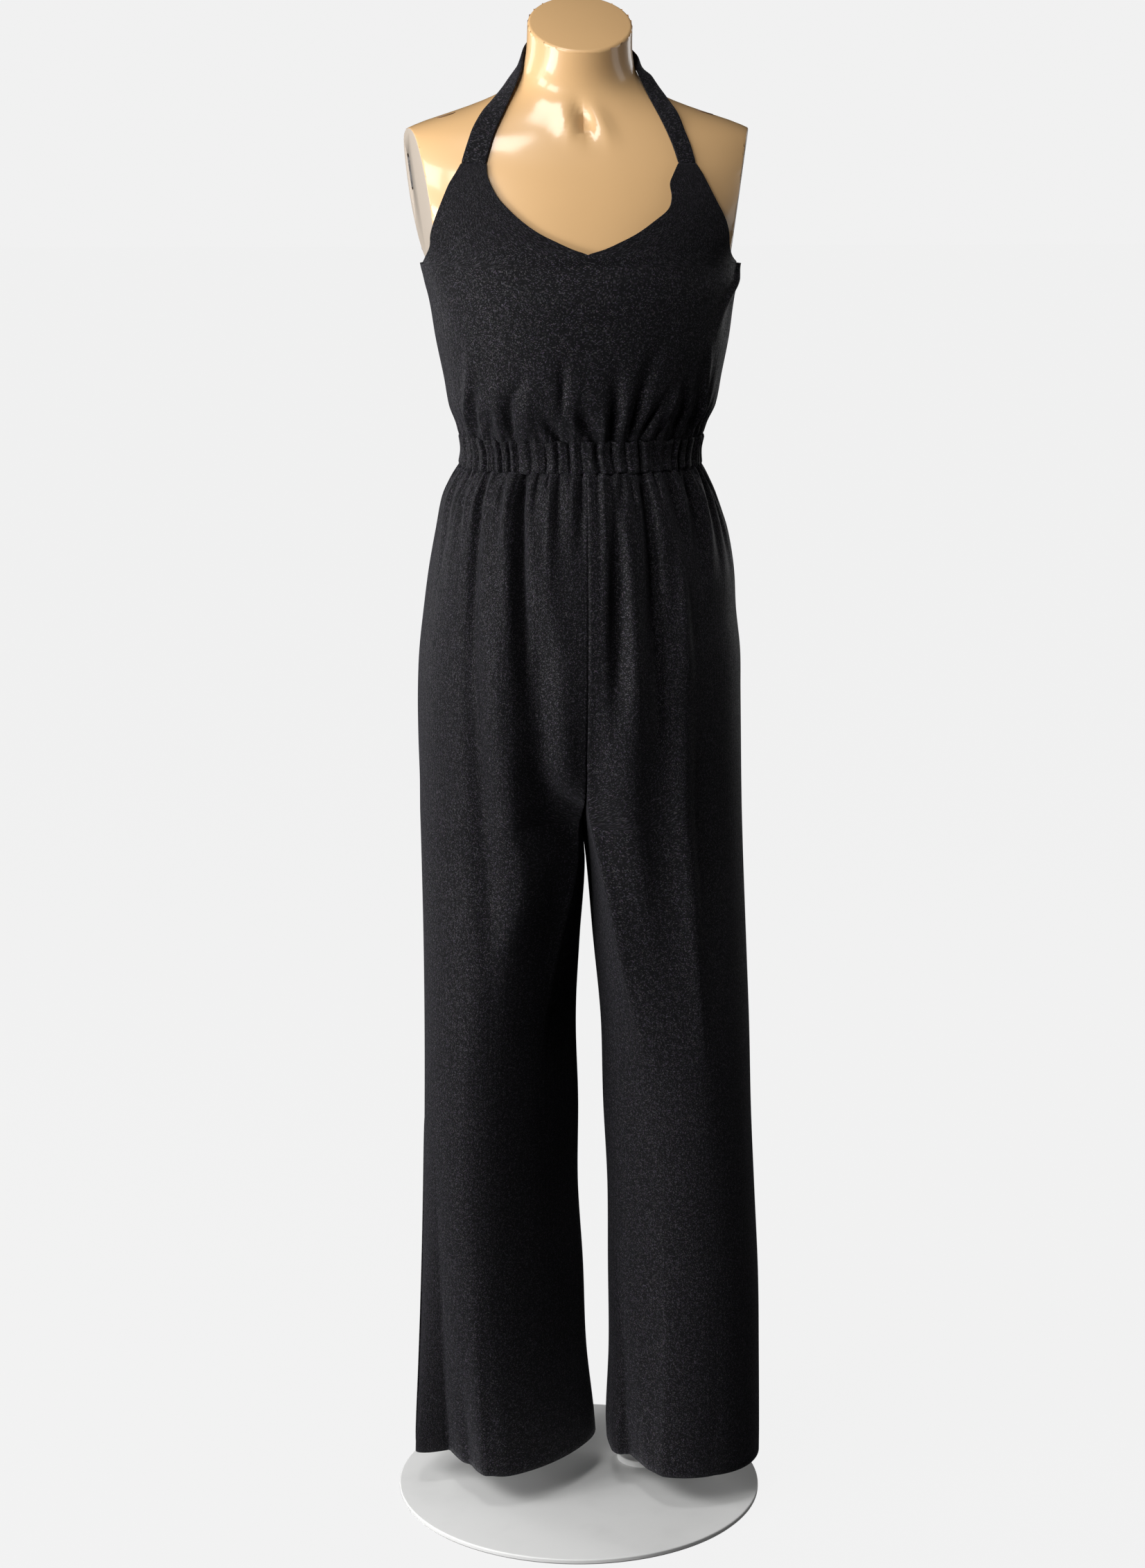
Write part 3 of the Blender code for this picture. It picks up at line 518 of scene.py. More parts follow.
@dataclass(frozen=True)
class KnitFinish:
    """Near-black fine knit with faint ribs along the cloth and metallic lurex specks."""

    yarn: Colour = (0.0018, 0.0018, 0.0023, 1)
    speck: Colour = (0.053, 0.054, 0.066, 1)
    rib_pitch: float = 0.0069115
    speck_size: float = 0.00095
    speck_share: float = 0.42
    roughness: float = 0.66

    def build(self) -> bpy.types.Material:
        """Make the knit, which reads its UV map in metres of cloth."""
        n = Nodes("charcoal_lurex_knit")
        cloth = n.add("UVMap", uv_map="cloth").outputs[0]
        cells = n.add("VectorMath", {0: cloth, 1: (self.speck_size,) * 3}, operation="SNAP").outputs[0]
        spread = n.add("VectorMath", {0: cells, 3: 1000.0}, operation="SCALE").outputs[0]
        dust = n.add("TexWhiteNoise", {0: spread}, noise_dimensions="3D")
        speck = n.ramp(dust.outputs[0], 1 - self.speck_share, 1.0)
        tint = n.blend(0.30, self.speck, dust.outputs[1], "MULTIPLY")
        patch = n.noise(cloth, 260.0, 2.0)
        strength = n.add("Math", {0: speck, 1: n.ramp(patch, 0.35, 0.7, 0.4, 1.0)}, operation="MULTIPLY")
        colour = n.blend(strength.outputs[0], self.yarn, tint)
        ribs = n.add("TexWave", {"Vector": cloth, "Scale": 2 * pi / self.rib_pitch / 20,
                                 "Distortion": 0.6, "Detail": 1.0, "Detail Scale": 3.0},
                     bands_direction="X")
        rough = n.ramp(dust.outputs[0], 0.0, 1.0, self.roughness + 0.10, self.roughness - 0.18)
        relief = n.add("Math", {0: ribs.outputs[1], 1: dust.outputs[0]}, operation="ADD").outputs[0]
        bump = n.bump(relief, 0.40, 0.0002)
        return n.shade(Base_Color=colour, Roughness=rough, Normal=bump, Sheen_Weight=0.060,
                       Sheen_Roughness=0.6, Sheen_Tint=(0.90, 0.90, 1.0, 1), Specular_IOR_Level=0.08)


@dataclass(frozen=True)
class ShellFinish:
    """Satin moulded plastic of one colour, with faint mottling and a slight wave."""

    name: str
    colour: Colour
    roughness: float = 0.38
    coat: float = 0.60

    def build(self) -> bpy.types.Material:
        """Make the plastic, which reads object coordinates."""
        n = Nodes(self.name)
        place = n.add("TexCoord").outputs["Object"]
        mottle = n.noise(place, 7.0, 3.0)
        darker = tuple(0.95 * part for part in self.colour[:3]) + (1,)
        colour = n.blend(n.ramp(mottle, 0.3, 0.75), self.colour, darker)
        rough = n.ramp(mottle, 0.3, 0.7, self.roughness, self.roughness + 0.05)
        wave = n.noise(place, 22.0, 1.0)
        bump = n.bump(wave, 0.05, 0.0006)
        return n.shade(Base_Color=colour, Roughness=rough, Normal=bump, Coat_Weight=self.coat,
                       Coat_Roughness=0.13, Specular_IOR_Level=0.45)


@dataclass(frozen=True)
class PaintFinish:
    """Powder-coated steel with a fine orange peel and faint stains."""

    colour: Colour = (0.80, 0.80, 0.79, 1)
    roughness: float = 0.42

    def build(self) -> bpy.types.Material:
        """Make the paint, which reads object coordinates."""
        n = Nodes("white_powder_coat")
        place = n.add("TexCoord").outputs["Object"]
        peel = n.noise(place, 420.0, 2.0)
        stain = n.noise(place, 14.0, 5.0)
        dull = tuple(0.94 * part for part in self.colour[:3]) + (1,)
        colour = n.blend(n.ramp(stain, 0.45, 0.75), self.colour, dull)
        rough = n.ramp(stain, 0.3, 0.7, self.roughness, self.roughness + 0.08)
        bump = n.bump(peel, 0.20, 0.0002)
        return n.shade(Base_Color=colour, Roughness=rough, Normal=bump)


@dataclass(frozen=True)
class DarkFinish:
    """Plain dark metal or shadowed plastic with a little grain."""

    name: str
    colour: Colour
    metallic: float = 0.0

    def build(self) -> bpy.types.Material:
        """Make it, which reads object coordinates."""
        n = Nodes(self.name)
        place = n.add("TexCoord").outputs["Object"]
        grain = n.noise(place, 300.0, 2.0)
        rough = n.ramp(grain, 0.3, 0.7, 0.35, 0.5)
        return n.shade(Base_Color=self.colour, Roughness=rough, Metallic=self.metallic)


# ---------------------------------------------------------------- dress form
@dataclass
class DressForm:
    """The limbless torso with a tilted neck cap, flat arm caps and their fittings."""

    bottom: float = 0.850
    top: float = 1.640
    columns: int = 160
    rows: int = 220
    bust_height: float = 1.292
    bust_angle: float = radians(30)
    bust_spread: float = radians(17)
    bust_reach: float = 0.040
    bust_depth: float = 0.013
    arm_cap: Triple = (0.1775, 0.046, 1.470)
    arm_lean: float = radians(7.4)
    arm_turn: float = radians(8)
    cut_above: float = 1.325
    socket: Triple = (0.1713, 0.030, 1.439)
    neck_cap: Pair = (-0.010, 1.584)
    neck_tilt: float = radians(32)
    neck_lip: float = 0.0032
    arm_lip: float = 0.0016
    slot: Triple = (0.024, 0.012, 0.037)
    slot_round: float = 0.005
    notch: Pair = (0.0005, 1.487)
    notch_slant: float = 0.30
    notch_depth: float = 0.0085
    tendon_spread: float = 0.0165
    tendon_height: float = 0.0034
    loops: tuple[tuple[Side, Triple], ...] = (
        (Side.RIGHT, (-0.1349, 0.0027, 1.4956)),
        (Side.LEFT, (0.1268, 0.0040, 1.4984)),
    )
    loop_radius: float = 0.0120
    wire_radius: float = 0.0005
    sections: Profile = Profile(
        Section(0.850, 0.150, 0.098, 0.104, 2.25),
        Section(0.900, 0.155, 0.102, 0.111, 2.25),
        Section(0.950, 0.154, 0.102, 0.111, 2.20),
        Section(1.010, 0.146, 0.099, 0.104, 2.15),
        Section(1.070, 0.132, 0.092, 0.093, 2.10),
        Section(1.120, 0.120, 0.086, 0.084, 2.10),
        Section(1.157, 0.1165, 0.0840, 0.0810, 2.10),
        Section(1.200, 0.122, 0.088, 0.084, 2.10),
        Section(1.250, 0.132, 0.096, 0.090, 2.15),
        Section(1.300, 0.142, 0.102, 0.097, 2.20),
        Section(1.335, 0.149, 0.102, 0.101, 2.25),
        Section(1.353, 0.158, 0.101, 0.102, 2.30),
        Section(1.375, 0.172, 0.099, 0.102, 2.30),
        Section(1.410, 0.190, 0.093, 0.101, 2.30),
        Section(1.440, 0.195, 0.084, 0.098, 2.30),
        Section(1.462, 0.194, 0.073, 0.093, 2.25),
        Section(1.476, 0.186, 0.064, 0.088, 2.20),
        Section(1.488, 0.162, 0.056, 0.083, 2.15),
        Section(1.499, 0.129, 0.050, 0.079, 2.10),
        Section(1.510, 0.098, 0.045, 0.075, 2.05),
        Section(1.521, 0.075, 0.043, 0.071, 2.00),
        Section(1.534, 0.061, 0.0445, 0.066, 2.00),
        Section(1.552, 0.0545, 0.0500, 0.059, 2.00),
        Section(1.580, 0.0530, 0.0590, 0.050, 2.00),
        Section(1.640, 0.0530, 0.0785, 0.0305, 2.00),
    )

    def point(self, angle: float, height: float, clearance: float = 0.0) -> Vector:
        """A point on the form's skin, or that far outside it, by its angle from the front."""
        reaches = [self.sections.read(name, height) + clearance for name in Section._fields[1:4]]
        point = section_point(angle, height, *reaches, self.sections.read("squareness", height))
        lift = bell(height - self.bust_height, self.bust_reach)
        for side in Side:
            point.y -= self.bust_depth * lift * bell(angle - side.value * self.bust_angle, self.bust_spread)
        return point

    def _row_height(self, up: float) -> float:
        """Rows lie closer at the shoulders and the foot of the neck."""
        return self.bottom + (self.top - self.bottom) * (up + 0.105 * sin(2 * pi * (up - 0.02)) * up)

    def _cut(self, bm: bmesh.types.BMesh, point: Vector, normal: Vector) -> list[bmesh.types.BMEdge]:
        """Cut the shoulders with a plane, close the cut and return its rim."""
        faces = [face for face in bm.faces if face.calc_center_median().z > self.cut_above]
        upper = {item for face in faces for item in (*face.verts, *face.edges, face)}
        cut = bmesh.ops.bisect_plane(
            bm, geom=list(upper), dist=TINY, plane_co=point, plane_no=normal, clear_outer=True
        )
        rim = [item for item in cut["geom_cut"] if isinstance(item, bmesh.types.BMEdge)]
        bmesh.ops.holes_fill(bm, edges=rim)
        return rim

    def build(self, shell: bpy.types.Material, plate: bpy.types.Material,
              hollow: bpy.types.Material) -> None:
        """Loft the torso, cut its caps, round their rims and press in the notch.

        Args:
            shell: The torso's plastic.
            plate: The paler arm caps' plastic.
            hollow: The near-black finish inside the caps' slots, which paints their shade.
        """
        bm = bmesh.new()
        grid = bmesh.ops.create_grid(bm, x_segments=self.columns, y_segments=self.rows, size=1)
        for vert in grid["verts"]:
            vert.co = self.point(pi * vert.co.x, self._row_height((vert.co.y + 1) / 2))
        bmesh.ops.remove_doubles(bm, verts=bm.verts, dist=1e-5)
        bmesh.ops.holes_fill(bm, edges=[edge for edge in bm.edges if edge.is_boundary])
        bmesh.ops.recalc_face_normals(bm, faces=bm.faces)
        rims = []
        for side in Side:
            x, y, z = self.arm_cap
            lean = Vector((side.value * cos(self.arm_turn), -sin(self.arm_turn), -tan(self.arm_lean)))
            rims.append(self._cut(bm, Vector((side.value * x, y, z)), lean.normalized()))
        neck = Vector((0, self.neck_cap[0], self.neck_cap[1]))
        lean = Vector((0, -sin(self.neck_tilt), cos(self.neck_tilt)))
        rims.append(self._cut(bm, neck, lean))
        self._press_notch(bm)
        for face in bm.faces:
            # Away from the middle, only the arm caps' flat faces have so many corners.
            middle = face.calc_center_median()
            face.material_index = int(len(face.verts) > 8 and abs(middle.x) > 0.1)
        for rim, width in zip(rims, (self.arm_lip, self.arm_lip, self.neck_lip)):
            round_edges(bm, rim, width)
        piece = finish_mesh("form_shell", bm, radians(40), shell, plate)
        self._carve_sockets(piece, hollow)
        install(piece, "form_torso")

    def _press_notch(self, bm: bmesh.types.BMesh) -> None:
        """The slanting hollow where the neck meets the chest, between two soft tendons."""
        x, z = self.notch
        for vert in bm.verts:
            if vert.co.y < -0.02 and abs(vert.co.z - z) < 0.08:
                up = vert.co.z - z
                across = vert.co.x - x + self.notch_slant * up
                hollow = bell(across, 0.0055) * bell(up, 0.015)
                tendons = bell(abs(across) - self.tendon_spread, 0.0095) * bell(up, 0.017)
                vert.co.y += self.notch_depth * hollow - self.tendon_height * tendons

    def _carve_sockets(self, piece: bpy.types.Object, hollow: bpy.types.Material) -> None:
        """Cut the slot of the arm fitting into each arm cap."""
        for side in Side:
            bm = bmesh.new()
            bmesh.ops.create_cube(bm, size=1)
            bmesh.ops.scale(bm, vec=self.slot, verts=bm.verts)
            level = [edge for edge in bm.edges if abs((edge.verts[0].co - edge.verts[1].co).x) > 0.01]
            round_edges(bm, level, self.slot_round)
            rotate(bm, side.value * self.arm_lean, "Y")
            rotate(bm, -side.value * self.arm_turn, "Z")
            x, y, z = self.socket
            move(bm, (side.value * x, y, z))
            # The cutter's near-black finish goes onto the slot's walls as painted shade.
            cutter = finish_mesh("socket_cutter", bm, radians(40), hollow)
            cut = piece.modifiers.new("socket", "BOOLEAN")
            cut.operation = "DIFFERENCE"
            cut.material_mode = "TRANSFER"
            cut.object = cutter
            evaluated = piece.evaluated_get(bpy.context.evaluated_depsgraph_get())
            carved = bpy.data.meshes.new_from_object(evaluated)
            piece.modifiers.clear()
            piece.data = carved
            bpy.data.objects.remove(cutter, do_unlink=True)

    def fittings(self, wire: bpy.types.Material) -> None:
        """The two thin wire loops let into the shoulders."""
        for side, place in self.loops:
            bm = bmesh.new()
            bmesh.ops.create_circle(bm, cap_ends=True, segments=8, radius=self.wire_radius,
                                    matrix=Matrix.Rotation(pi / 2, 4, "X"))
            move(bm, (self.loop_radius, 0, 0))
            rotate(bm, radians(-140), "Z")
            bmesh.ops.spin(bm, geom=bm.faces[:], cent=(0, 0, 0), axis=(0, 0, 1), dvec=(0, 0, 0),
                           angle=radians(100), steps=16, use_merge=False)
            bmesh.ops.recalc_face_normals(bm, faces=bm.faces)
            rotate(bm, side.value * radians(15), "Y")
            move(bm, place)
            install(finish_mesh(f"form_loop_{side.name.lower()}", bm, radians(60), wire))


# ---------------------------------------------------------------- bodice
@dataclass
class Bodice:
    """The halter front with both cups, and the plain back, straight across under the arms."""

    form: DressForm
    bottom: float = WAIST_HIGH - SEAM_LAP
    underarm: float = 1.348
    neckline_low: float = 1.361
    cup_top: float = 1.449
    back_dip: float = 0.014
    clearance: float = 0.0038
    sleek_low: float = 1.312
    sleek_high: float = 1.380
    sections: Profile = Profile(
        Girth(1.1738, 0.1245, 0.1280, 0.0930, 0.0890),
        Girth(1.186, 0.1280, 0.1320, 0.1010, 0.0950),
        Girth(1.204, 0.1350, 0.1405, 0.1100, 0.1010),
        Girth(1.235, 0.1405, 0.1460, 0.1160, 0.1040),
        Girth(1.272, 0.1480, 0.1530, 0.1200, 0.1060),
        Girth(1.314, 0.1550, 0.1590, 0.1205, 0.1070),
        Girth(1.332, 0.1615, 0.1655, 0.1165, 0.1065),
        Girth(1.348, 0.1685, 0.1640, 0.1130, 0.1060),
        Girth(1.400, 0.1760, 0.1740, 0.1040, 0.1060),
    )
    neckline: Profile = Profile(
        Edge(1.361, 0.0000, 0.0000),
        Edge(1.3655, 0.0140, 0.0160),
        Edge(1.371, 0.0266, 0.0290),
        Edge(1.381, 0.0471, 0.0495),
        Edge(1.3925, 0.0639, 0.0665),
        Edge(1.4045, 0.0773, 0.0815),
        Edge(1.4165, 0.0880, 0.0852),
        Edge(1.430, 0.0952, 0.0838),
        Edge(1.440, 0.0983, 0.0880),
        Edge(1.449, 0.0986, 0.0925),
    )
    armhole: Profile = Profile(
        Edge(1.348, 0.1620, 0.1605),
        Edge(1.356, 0.1590, 0.1520),
        Edge(1.367, 0.1550, 0.1475),
        Edge(1.378, 0.1545, 0.1462),
        Edge(1.388, 0.1522, 0.1439),
        Edge(1.399, 0.1485, 0.1392),
        Edge(1.409, 0.1446, 0.1336),
        Edge(1.419, 0.1405, 0.1281),
        Edge(1.4295, 0.1357, 0.1226),
        Edge(1.4395, 0.1294, 0.1172),
        Edge(1.449, 0.1237, 0.1110),
    )
    # Signed degrees from the middle of the front, minus to the wearer's right.
    creases: tuple[Crease, ...] = (
        Crease(-82.7, 1.174, -79.3, 1.220, 0.0, 2.2, 0.0032),
        Crease(-74.7, 1.174, -72.4, 1.200, 0.0, 1.8, 0.0022),
        Crease(-67.3, 1.174, -46.9, 1.310, 2.0, 2.0, -0.0037),
        Crease(-60.4, 1.174, -47.4, 1.250, -1.0, 2.1, 0.0060),
        Crease(-49.6, 1.174, -42.9, 1.212, 0.0, 1.7, 0.0045),
        Crease(-42.4, 1.174, -37.4, 1.270, 0.0, 1.8, -0.0020),
        Crease(-34.2, 1.174, -21.4, 1.250, -5.6, 1.8, 0.0092),
        Crease(-26.4, 1.174, -16.4, 1.255, -3.0, 2.6, -0.0028),
        Crease(-19.9, 1.174, -21.9, 1.192, 0.0, 1.3, 0.0037),
        Crease(-11.9, 1.174, -16.9, 1.206, 0.0, 2.1, 0.0110),
        Crease(-7.9, 1.174, -8.4, 1.194, 0.0, 1.4, 0.0050),
        Crease(-10.0, 1.190, -8.8, 1.268, 0.0, 1.1, 0.0042, True),
        Crease(-5.4, 1.174, -4.9, 1.262, 0.0, 1.5, -0.0022),
        Crease(2.4, 1.174, -4.2, 1.222, 0.0, 2.1, 0.0096),
        Crease(6.8, 1.174, 4.1, 1.240, 0.0, 1.3, -0.0018),
        Crease(10.8, 1.174, 8.6, 1.272, 0.0, 2.0, 0.0090),
        Crease(15.1, 1.174, 14.6, 1.250, 0.0, 1.6, -0.0025),
        Crease(18.4, 1.174, 29.6, 1.298, -2.6, 2.0, 0.0083),
        Crease(24.1, 1.174, 39.1, 1.240, -2.8, 1.6, 0.0080),
        Crease(30.6, 1.174, 34.6, 1.212, 2.4, 1.6, 0.0045),
        Crease(32.6, 1.180, 41.1, 1.246, 0.5, 1.0, -0.0025, True),
        Crease(41.6, 1.174, 38.1, 1.262, 2.5, 2.3, 0.0070),
        Crease(56.6, 1.174, 52.1, 1.290, 4.5, 1.2, -0.0040),
        Crease(52.1, 1.174, 49.1, 1.276, 2.0, 1.9, 0.0052),
        Crease(62.1, 1.174, 57.6, 1.262, 4.0, 1.8, 0.0057),
        Crease(69.6, 1.174, 72.2, 1.250, 0.0, 2.2, 0.0042),
        Crease(78.2, 1.174, 79.0, 1.228, 0.0, 2.2, 0.0037),
        Crease(84.1, 1.352, 60.6, 1.262, -8.0, 2.2, -0.0047),
        Crease(92.0, 1.349, 68.7, 1.250, -7.0, 3.6, 0.0050),
        Crease(-86.0, 1.350, -58.7, 1.290, -6.0, 3.0, 0.0020),
        Crease(92.0, 1.174, 91.0, 1.240, 0.0, 2.2, 0.0042),
        Crease(106.0, 1.174, 104.0, 1.215, 0.0, 2.0, 0.0037),
        Crease(113.0, 1.174, 108.0, 1.246, 1.5, 1.7, -0.0025),
        Crease(119.0, 1.174, 113.0, 1.272, 1.5, 2.4, 0.0063),
        Crease(133.0, 1.174, 133.0, 1.220, 0.0, 2.1, 0.0045),
        Crease(147.0, 1.174, 152.0, 1.256, -2.0, 2.5, 0.0065),
        Crease(155.0, 1.174, 159.0, 1.235, -1.0, 1.6, -0.0025),
        Crease(162.0, 1.174, 163.0, 1.216, 0.0, 2.2, 0.0042),
        Crease(176.0, 1.174, 178.0, 1.276, 2.0, 2.5, 0.0070),
        Crease(-168.0, 1.174, -165.0, 1.224, 0.0, 2.2, 0.0045),
        Crease(-160.0, 1.174, -163.0, 1.243, 0.0, 1.7, -0.0025),
        Crease(-153.0, 1.174, -158.0, 1.268, 2.0, 2.6, 0.0068),
        Crease(-139.0, 1.174, -138.0, 1.219, 0.0, 2.0, 0.0042),
        Crease(-125.0, 1.174, -119.0, 1.254, -2.0, 2.4, 0.0060),
        Crease(-111.0, 1.174, -112.0, 1.214, 0.0, 2.0, 0.0040),
        Crease(-97.0, 1.174, -94.0, 1.240, 1.0, 2.2, 0.0045),
        Crease(110.0, 1.330, 150.0, 1.290, 3.0, 5.0, 0.0020, True),
        Crease(-112.0, 1.326, -156.0, 1.284, -3.0, 5.0, 0.0019, True),
    )

    def base(self, angle: float, height: float) -> Vector:
        """The outer face without its folds: free below, settled on the chest above."""
        hanging = girth_point(self.sections, angle, height)
        settled = self.form.point(angle, height, self.clearance)
        return hanging.lerp(settled, smooth_step(self.sleek_low, self.sleek_high, height))

    def _drape(self, angle: float, height: float) -> float:
        """The soft level swags that hang between the cups, in metres, minus where they stand out."""
        across = degrees(angle)
        under_neck = -0.0016 * bell(height - 1.3565 - 0.00006 * across, 0.0034) * bell(across - 3, 15)
        hollow = 0.0012 * bell(height - 1.347, 0.0060) * bell(across - 2, 17)
        slack = -0.0012 * bell(height - 1.333, 0.0075) * bell(across - 8, 20)
        return under_neck + hollow + slack

    def place(self, angle: float, height: float, edge: float = 0.0) -> Vector:
        """A point of the bodice with its folds; edge is how near a sewn side it lies, 0 to 1."""
        out = way_out(lambda a: self.base(a, height), angle)
        near = height - self.bottom
        depth = crease_depth(self.creases, degrees(angle), height) * pinched(near)
        depth += shirring(angle, near, waves=64, depth=0.0015, reach=0.022) + turned_in(near)
        depth += self._drape(angle, height) + GROOVE * edge
        point = self.base(angle, height) - out * depth
        point.z += waist_ripple(angle, height)
        return point

    def _angle_at(self, x: float, height: float) -> float:
        """The angle of the front at a distance from the centre plane."""
        low, high = 0.0, pi / 2
        side = 1 if x >= 0 else -1
        for _ in range(30):
            middle = (low + high) / 2
            if self.base(side * middle, height).x * side < abs(x):
                low = middle
            else:
                high = middle
        return side * low

    def _front_edges(self, side: Side, height: float) -> Pair:
        """The inner and outer angle of one half of the front at a height."""
        column = side.name.lower()
        inner, outer = 0.0, side.value * pi / 2
        if height > self.neckline_low:
            inner = self._angle_at(side.value * self.neckline.read(column, height), height)
        if height > self.underarm:
            outer = self._angle_at(side.value * self.armhole.read(column, height), height)
        return inner, outer

    def _half(self, side: Side) -> Place:
        """The place function of one half of the front."""
        known: dict[float, Pair] = {}

        def place(across: float, up: float) -> Vector:
            """A point by its shares across the half and up it."""
            height = self.bottom + (self.cup_top - self.bottom) * up
            if height not in known:
                known[height] = self._front_edges(side, height)
            inner, outer = known[height]
            part = across if side is Side.LEFT else 1 - across
            sewn = part > 0.999 and height <= self.underarm
            return self.place(inner + (outer - inner) * part, height, 1.0 if sewn else 0.0)

        return place

    def _back(self, across: float, up: float) -> Vector:
        """A point of the back by its shares across and up."""
        height = self.bottom + (self.underarm - self.bottom) * up
        height -= self.back_dip * sin(pi * across) ** 2 * smooth_step(0.5, 1.0, up)
        edge = 1.0 if across < 0.001 or across > 0.999 else 0.0
        return self.place(pi / 2 + pi * across, height, edge)

    def build(self, knit: bpy.types.Material) -> None:
        """Lay both pieces."""
        ClothPanel(
            node="bodice_front", columns=108, rows=150, flat=(0.420, 0.290), area=0.098,
            halves=(self._half(Side.RIGHT), self._half(Side.LEFT)), held=Held.GATHERED,
        ).build(knit)
        ClothPanel(
            node="bodice_back", columns=190, rows=96, flat=(0.420, 0.178), area=0.0715,
            halves=(self._back,), held=Held.GATHERED,
        ).build(knit)


# ---------------------------------------------------------------- waistband
@dataclass
class Waistband:
    """The ruched casing of the elastic waist, in two halves."""

    bottom: float = WAIST_LOW
    top: float = WAIST_HIGH
    waves: int = 58
    depth: float = 0.0043
    lean: float = 1.9
    seam_width: float = 0.05
    seam_calm: float = 0.25
    seam_draw: float = 0.0006
    sections: Profile = Profile(
        Girth(1.1415, 0.1245, 0.1262, 0.0930, 0.0900),
        Girth(1.157, 0.1222, 0.1255, 0.0905, 0.0875),
        Girth(1.1735, 0.1242, 0.1285, 0.0925, 0.0890),
    )

    def _wave(self, angle: float, up: float) -> float:
        """The ruching at one place: sharp valleys between rounded, leaning ridges."""
        drift = 1.3 * sin(3 * angle + 1.3) + 0.8 * sin(8 * angle) + 0.5 * sin(13 * angle + 2.2)
        bent = self.lean * (up - 0.5) * (cos(angle + 0.7) + 0.5 * sin(5 * angle))
        phase = self.waves * angle + drift + bent + 0.5 * sin(pi * up) * sin(9 * angle + 1.0)
        ridge = abs(sin(phase / 2)) ** 0.6
        second = 0.5 + 0.5 * sin(1.61 * phase + 1.1)
        uneven = 0.75 + 0.25 * sin(6 * angle + 0.4) + 0.2 * sin(17 * angle)
        flat = 1 - 0.75 * bell(cos(angle), 0.035)
        return self.depth * uneven * flat * (1.15 * ridge - 0.85 + 0.30 * second)

    def place(self, angle: float, up: float) -> Vector:
        """A point of the band's outer face."""
        height = self.bottom + (self.top - self.bottom) * up
        base = girth_point(self.sections, angle, height)
        out = way_out(lambda a: girth_point(self.sections, a, height), angle)
        sewn = bell(up, self.seam_width) + bell(up - 1, self.seam_width)
        wave = self._wave(angle, up) * (1 - self.seam_calm * sewn)
        point = base + out * (wave - self.seam_draw * sewn)
        point.z += waist_ripple(angle, height)
        return point

    def _half(self, face: Face, across: float, up: float) -> Vector:
        """A point of one half by its shares across and up."""
        return self.place(face.value * pi / 2 + pi * across, up)

    def build(self, knit: bpy.types.Material) -> None:
        """Lay both halves."""
        for face in Face:
            ClothPanel(
                node=f"waistband_{face.name.lower()}", columns=420, rows=22, flat=(0.460, 0.0325),
                halves=(partial(self._half, face),), held=Held.GATHERED,
            ).build(knit)


